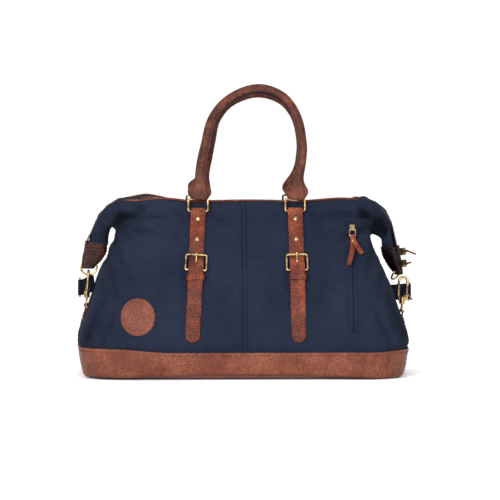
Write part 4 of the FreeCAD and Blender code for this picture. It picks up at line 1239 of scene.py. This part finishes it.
def dress_nodes():
    """Materials of the CAD pieces that stay as they are: brass hardware and the hidden inside."""
    for name, node in frame["nodes"].items():
        if "trigger" in name or name.startswith("main_slider"):
            material = "dark_brass"
        elif any(word in name for word in ("ring_", "prong", "dee", "swivel", "snap_hook", "slider",
                                           "buckle_frames", "pull_ring", "rivets")):
            material = "brass"
        elif name in ("lining", "pocket_pouch"):
            material = "lining"
        elif "core" in name:
            material = "webbing"
        elif name == "base_board":
            material = "leather_edge"
        else:
            continue
        node.data.materials.clear()
        node.data.materials.append(MATERIALS[material])


# ---------------------------------------------------------------- stage, lights and camera


def floor():
    """Plain pale floor, half a millimetre below the bag."""
    n = Nodes("Pale floor")
    tint = n.ramp(n.noise(0.6, 1), [(0.3, (0.95, 0.95, 0.95)), (0.7, (0.94525, 0.94525, 0.94525))])
    bpy.ops.mesh.primitive_plane_add(size=12, location=(0, 0, -0.0005))
    ground = bpy.context.object
    ground.name = "floor"
    ground.data.materials.append(n.finish(tint, 0.9, Specular_IOR_Level=0.1))


def area_light(name, place, target, size, power):
    lamp = bpy.data.lights.new(name, "AREA")
    lamp.shape = "RECTANGLE"
    lamp.size, lamp.size_y = size
    lamp.energy = power
    holder = bpy.data.objects.new(name, lamp)
    bpy.context.scene.collection.objects.link(holder)
    holder.location = place
    holder.rotation_euler = (Vector(target) - Vector(place)).to_track_quat("-Z", "Y").to_euler()


def lights():
    world = bpy.data.worlds.new("White studio")
    world.use_nodes = True
    world.node_tree.nodes["Background"].inputs["Color"].default_value = (1, 1, 1, 1)
    world.node_tree.nodes["Background"].inputs["Strength"].default_value = 1.08
    bpy.context.scene.world = world
    area_light("key", (-1.1, -2.9, 1.1), (0, 0, 0.15), (1.2, 0.9), 108)
    area_light("fill", (1.3, -2.6, 0.5), (0, 0, 0.1), (1.2, 1.0), 24)
    area_light("top", (0.1, -0.4, 2.4), (0, 0, 0.2), (1.2, 0.8), 18)


def camera():
    """Twelve metres away through a long lens, a little to the bag's left and four degrees above level."""
    lens = bpy.data.cameras.new("camera")
    lens.lens = 576
    lens.sensor_width = 36
    holder = bpy.data.objects.new("camera", lens)
    bpy.context.scene.collection.objects.link(holder)
    target = Vector((0.01125, 0, 0.186))
    azimuth, elevation, distance = math.radians(-2), math.radians(4), 12.0
    way = Vector((math.sin(azimuth) * math.cos(elevation), -math.cos(azimuth) * math.cos(elevation),
                  math.sin(elevation)))
    holder.location = target + way * distance
    holder.rotation_euler = (-way).to_track_quat("-Z", "Y").to_euler()
    bpy.context.scene.camera = holder


canvas_shell()
lining()
base_band()
straps()
patch()
for panel in SIDES:
    handle(panel)
piping()
main_zip()
for hand_name in HANDS:
    wing_end(hand_name)
hook_tabs()
side_loops()
pocket()
centre_seam()
pulls()
dress_nodes()
floor()
lights()
camera()
bpy.context.scene.view_settings.view_transform = "Standard"
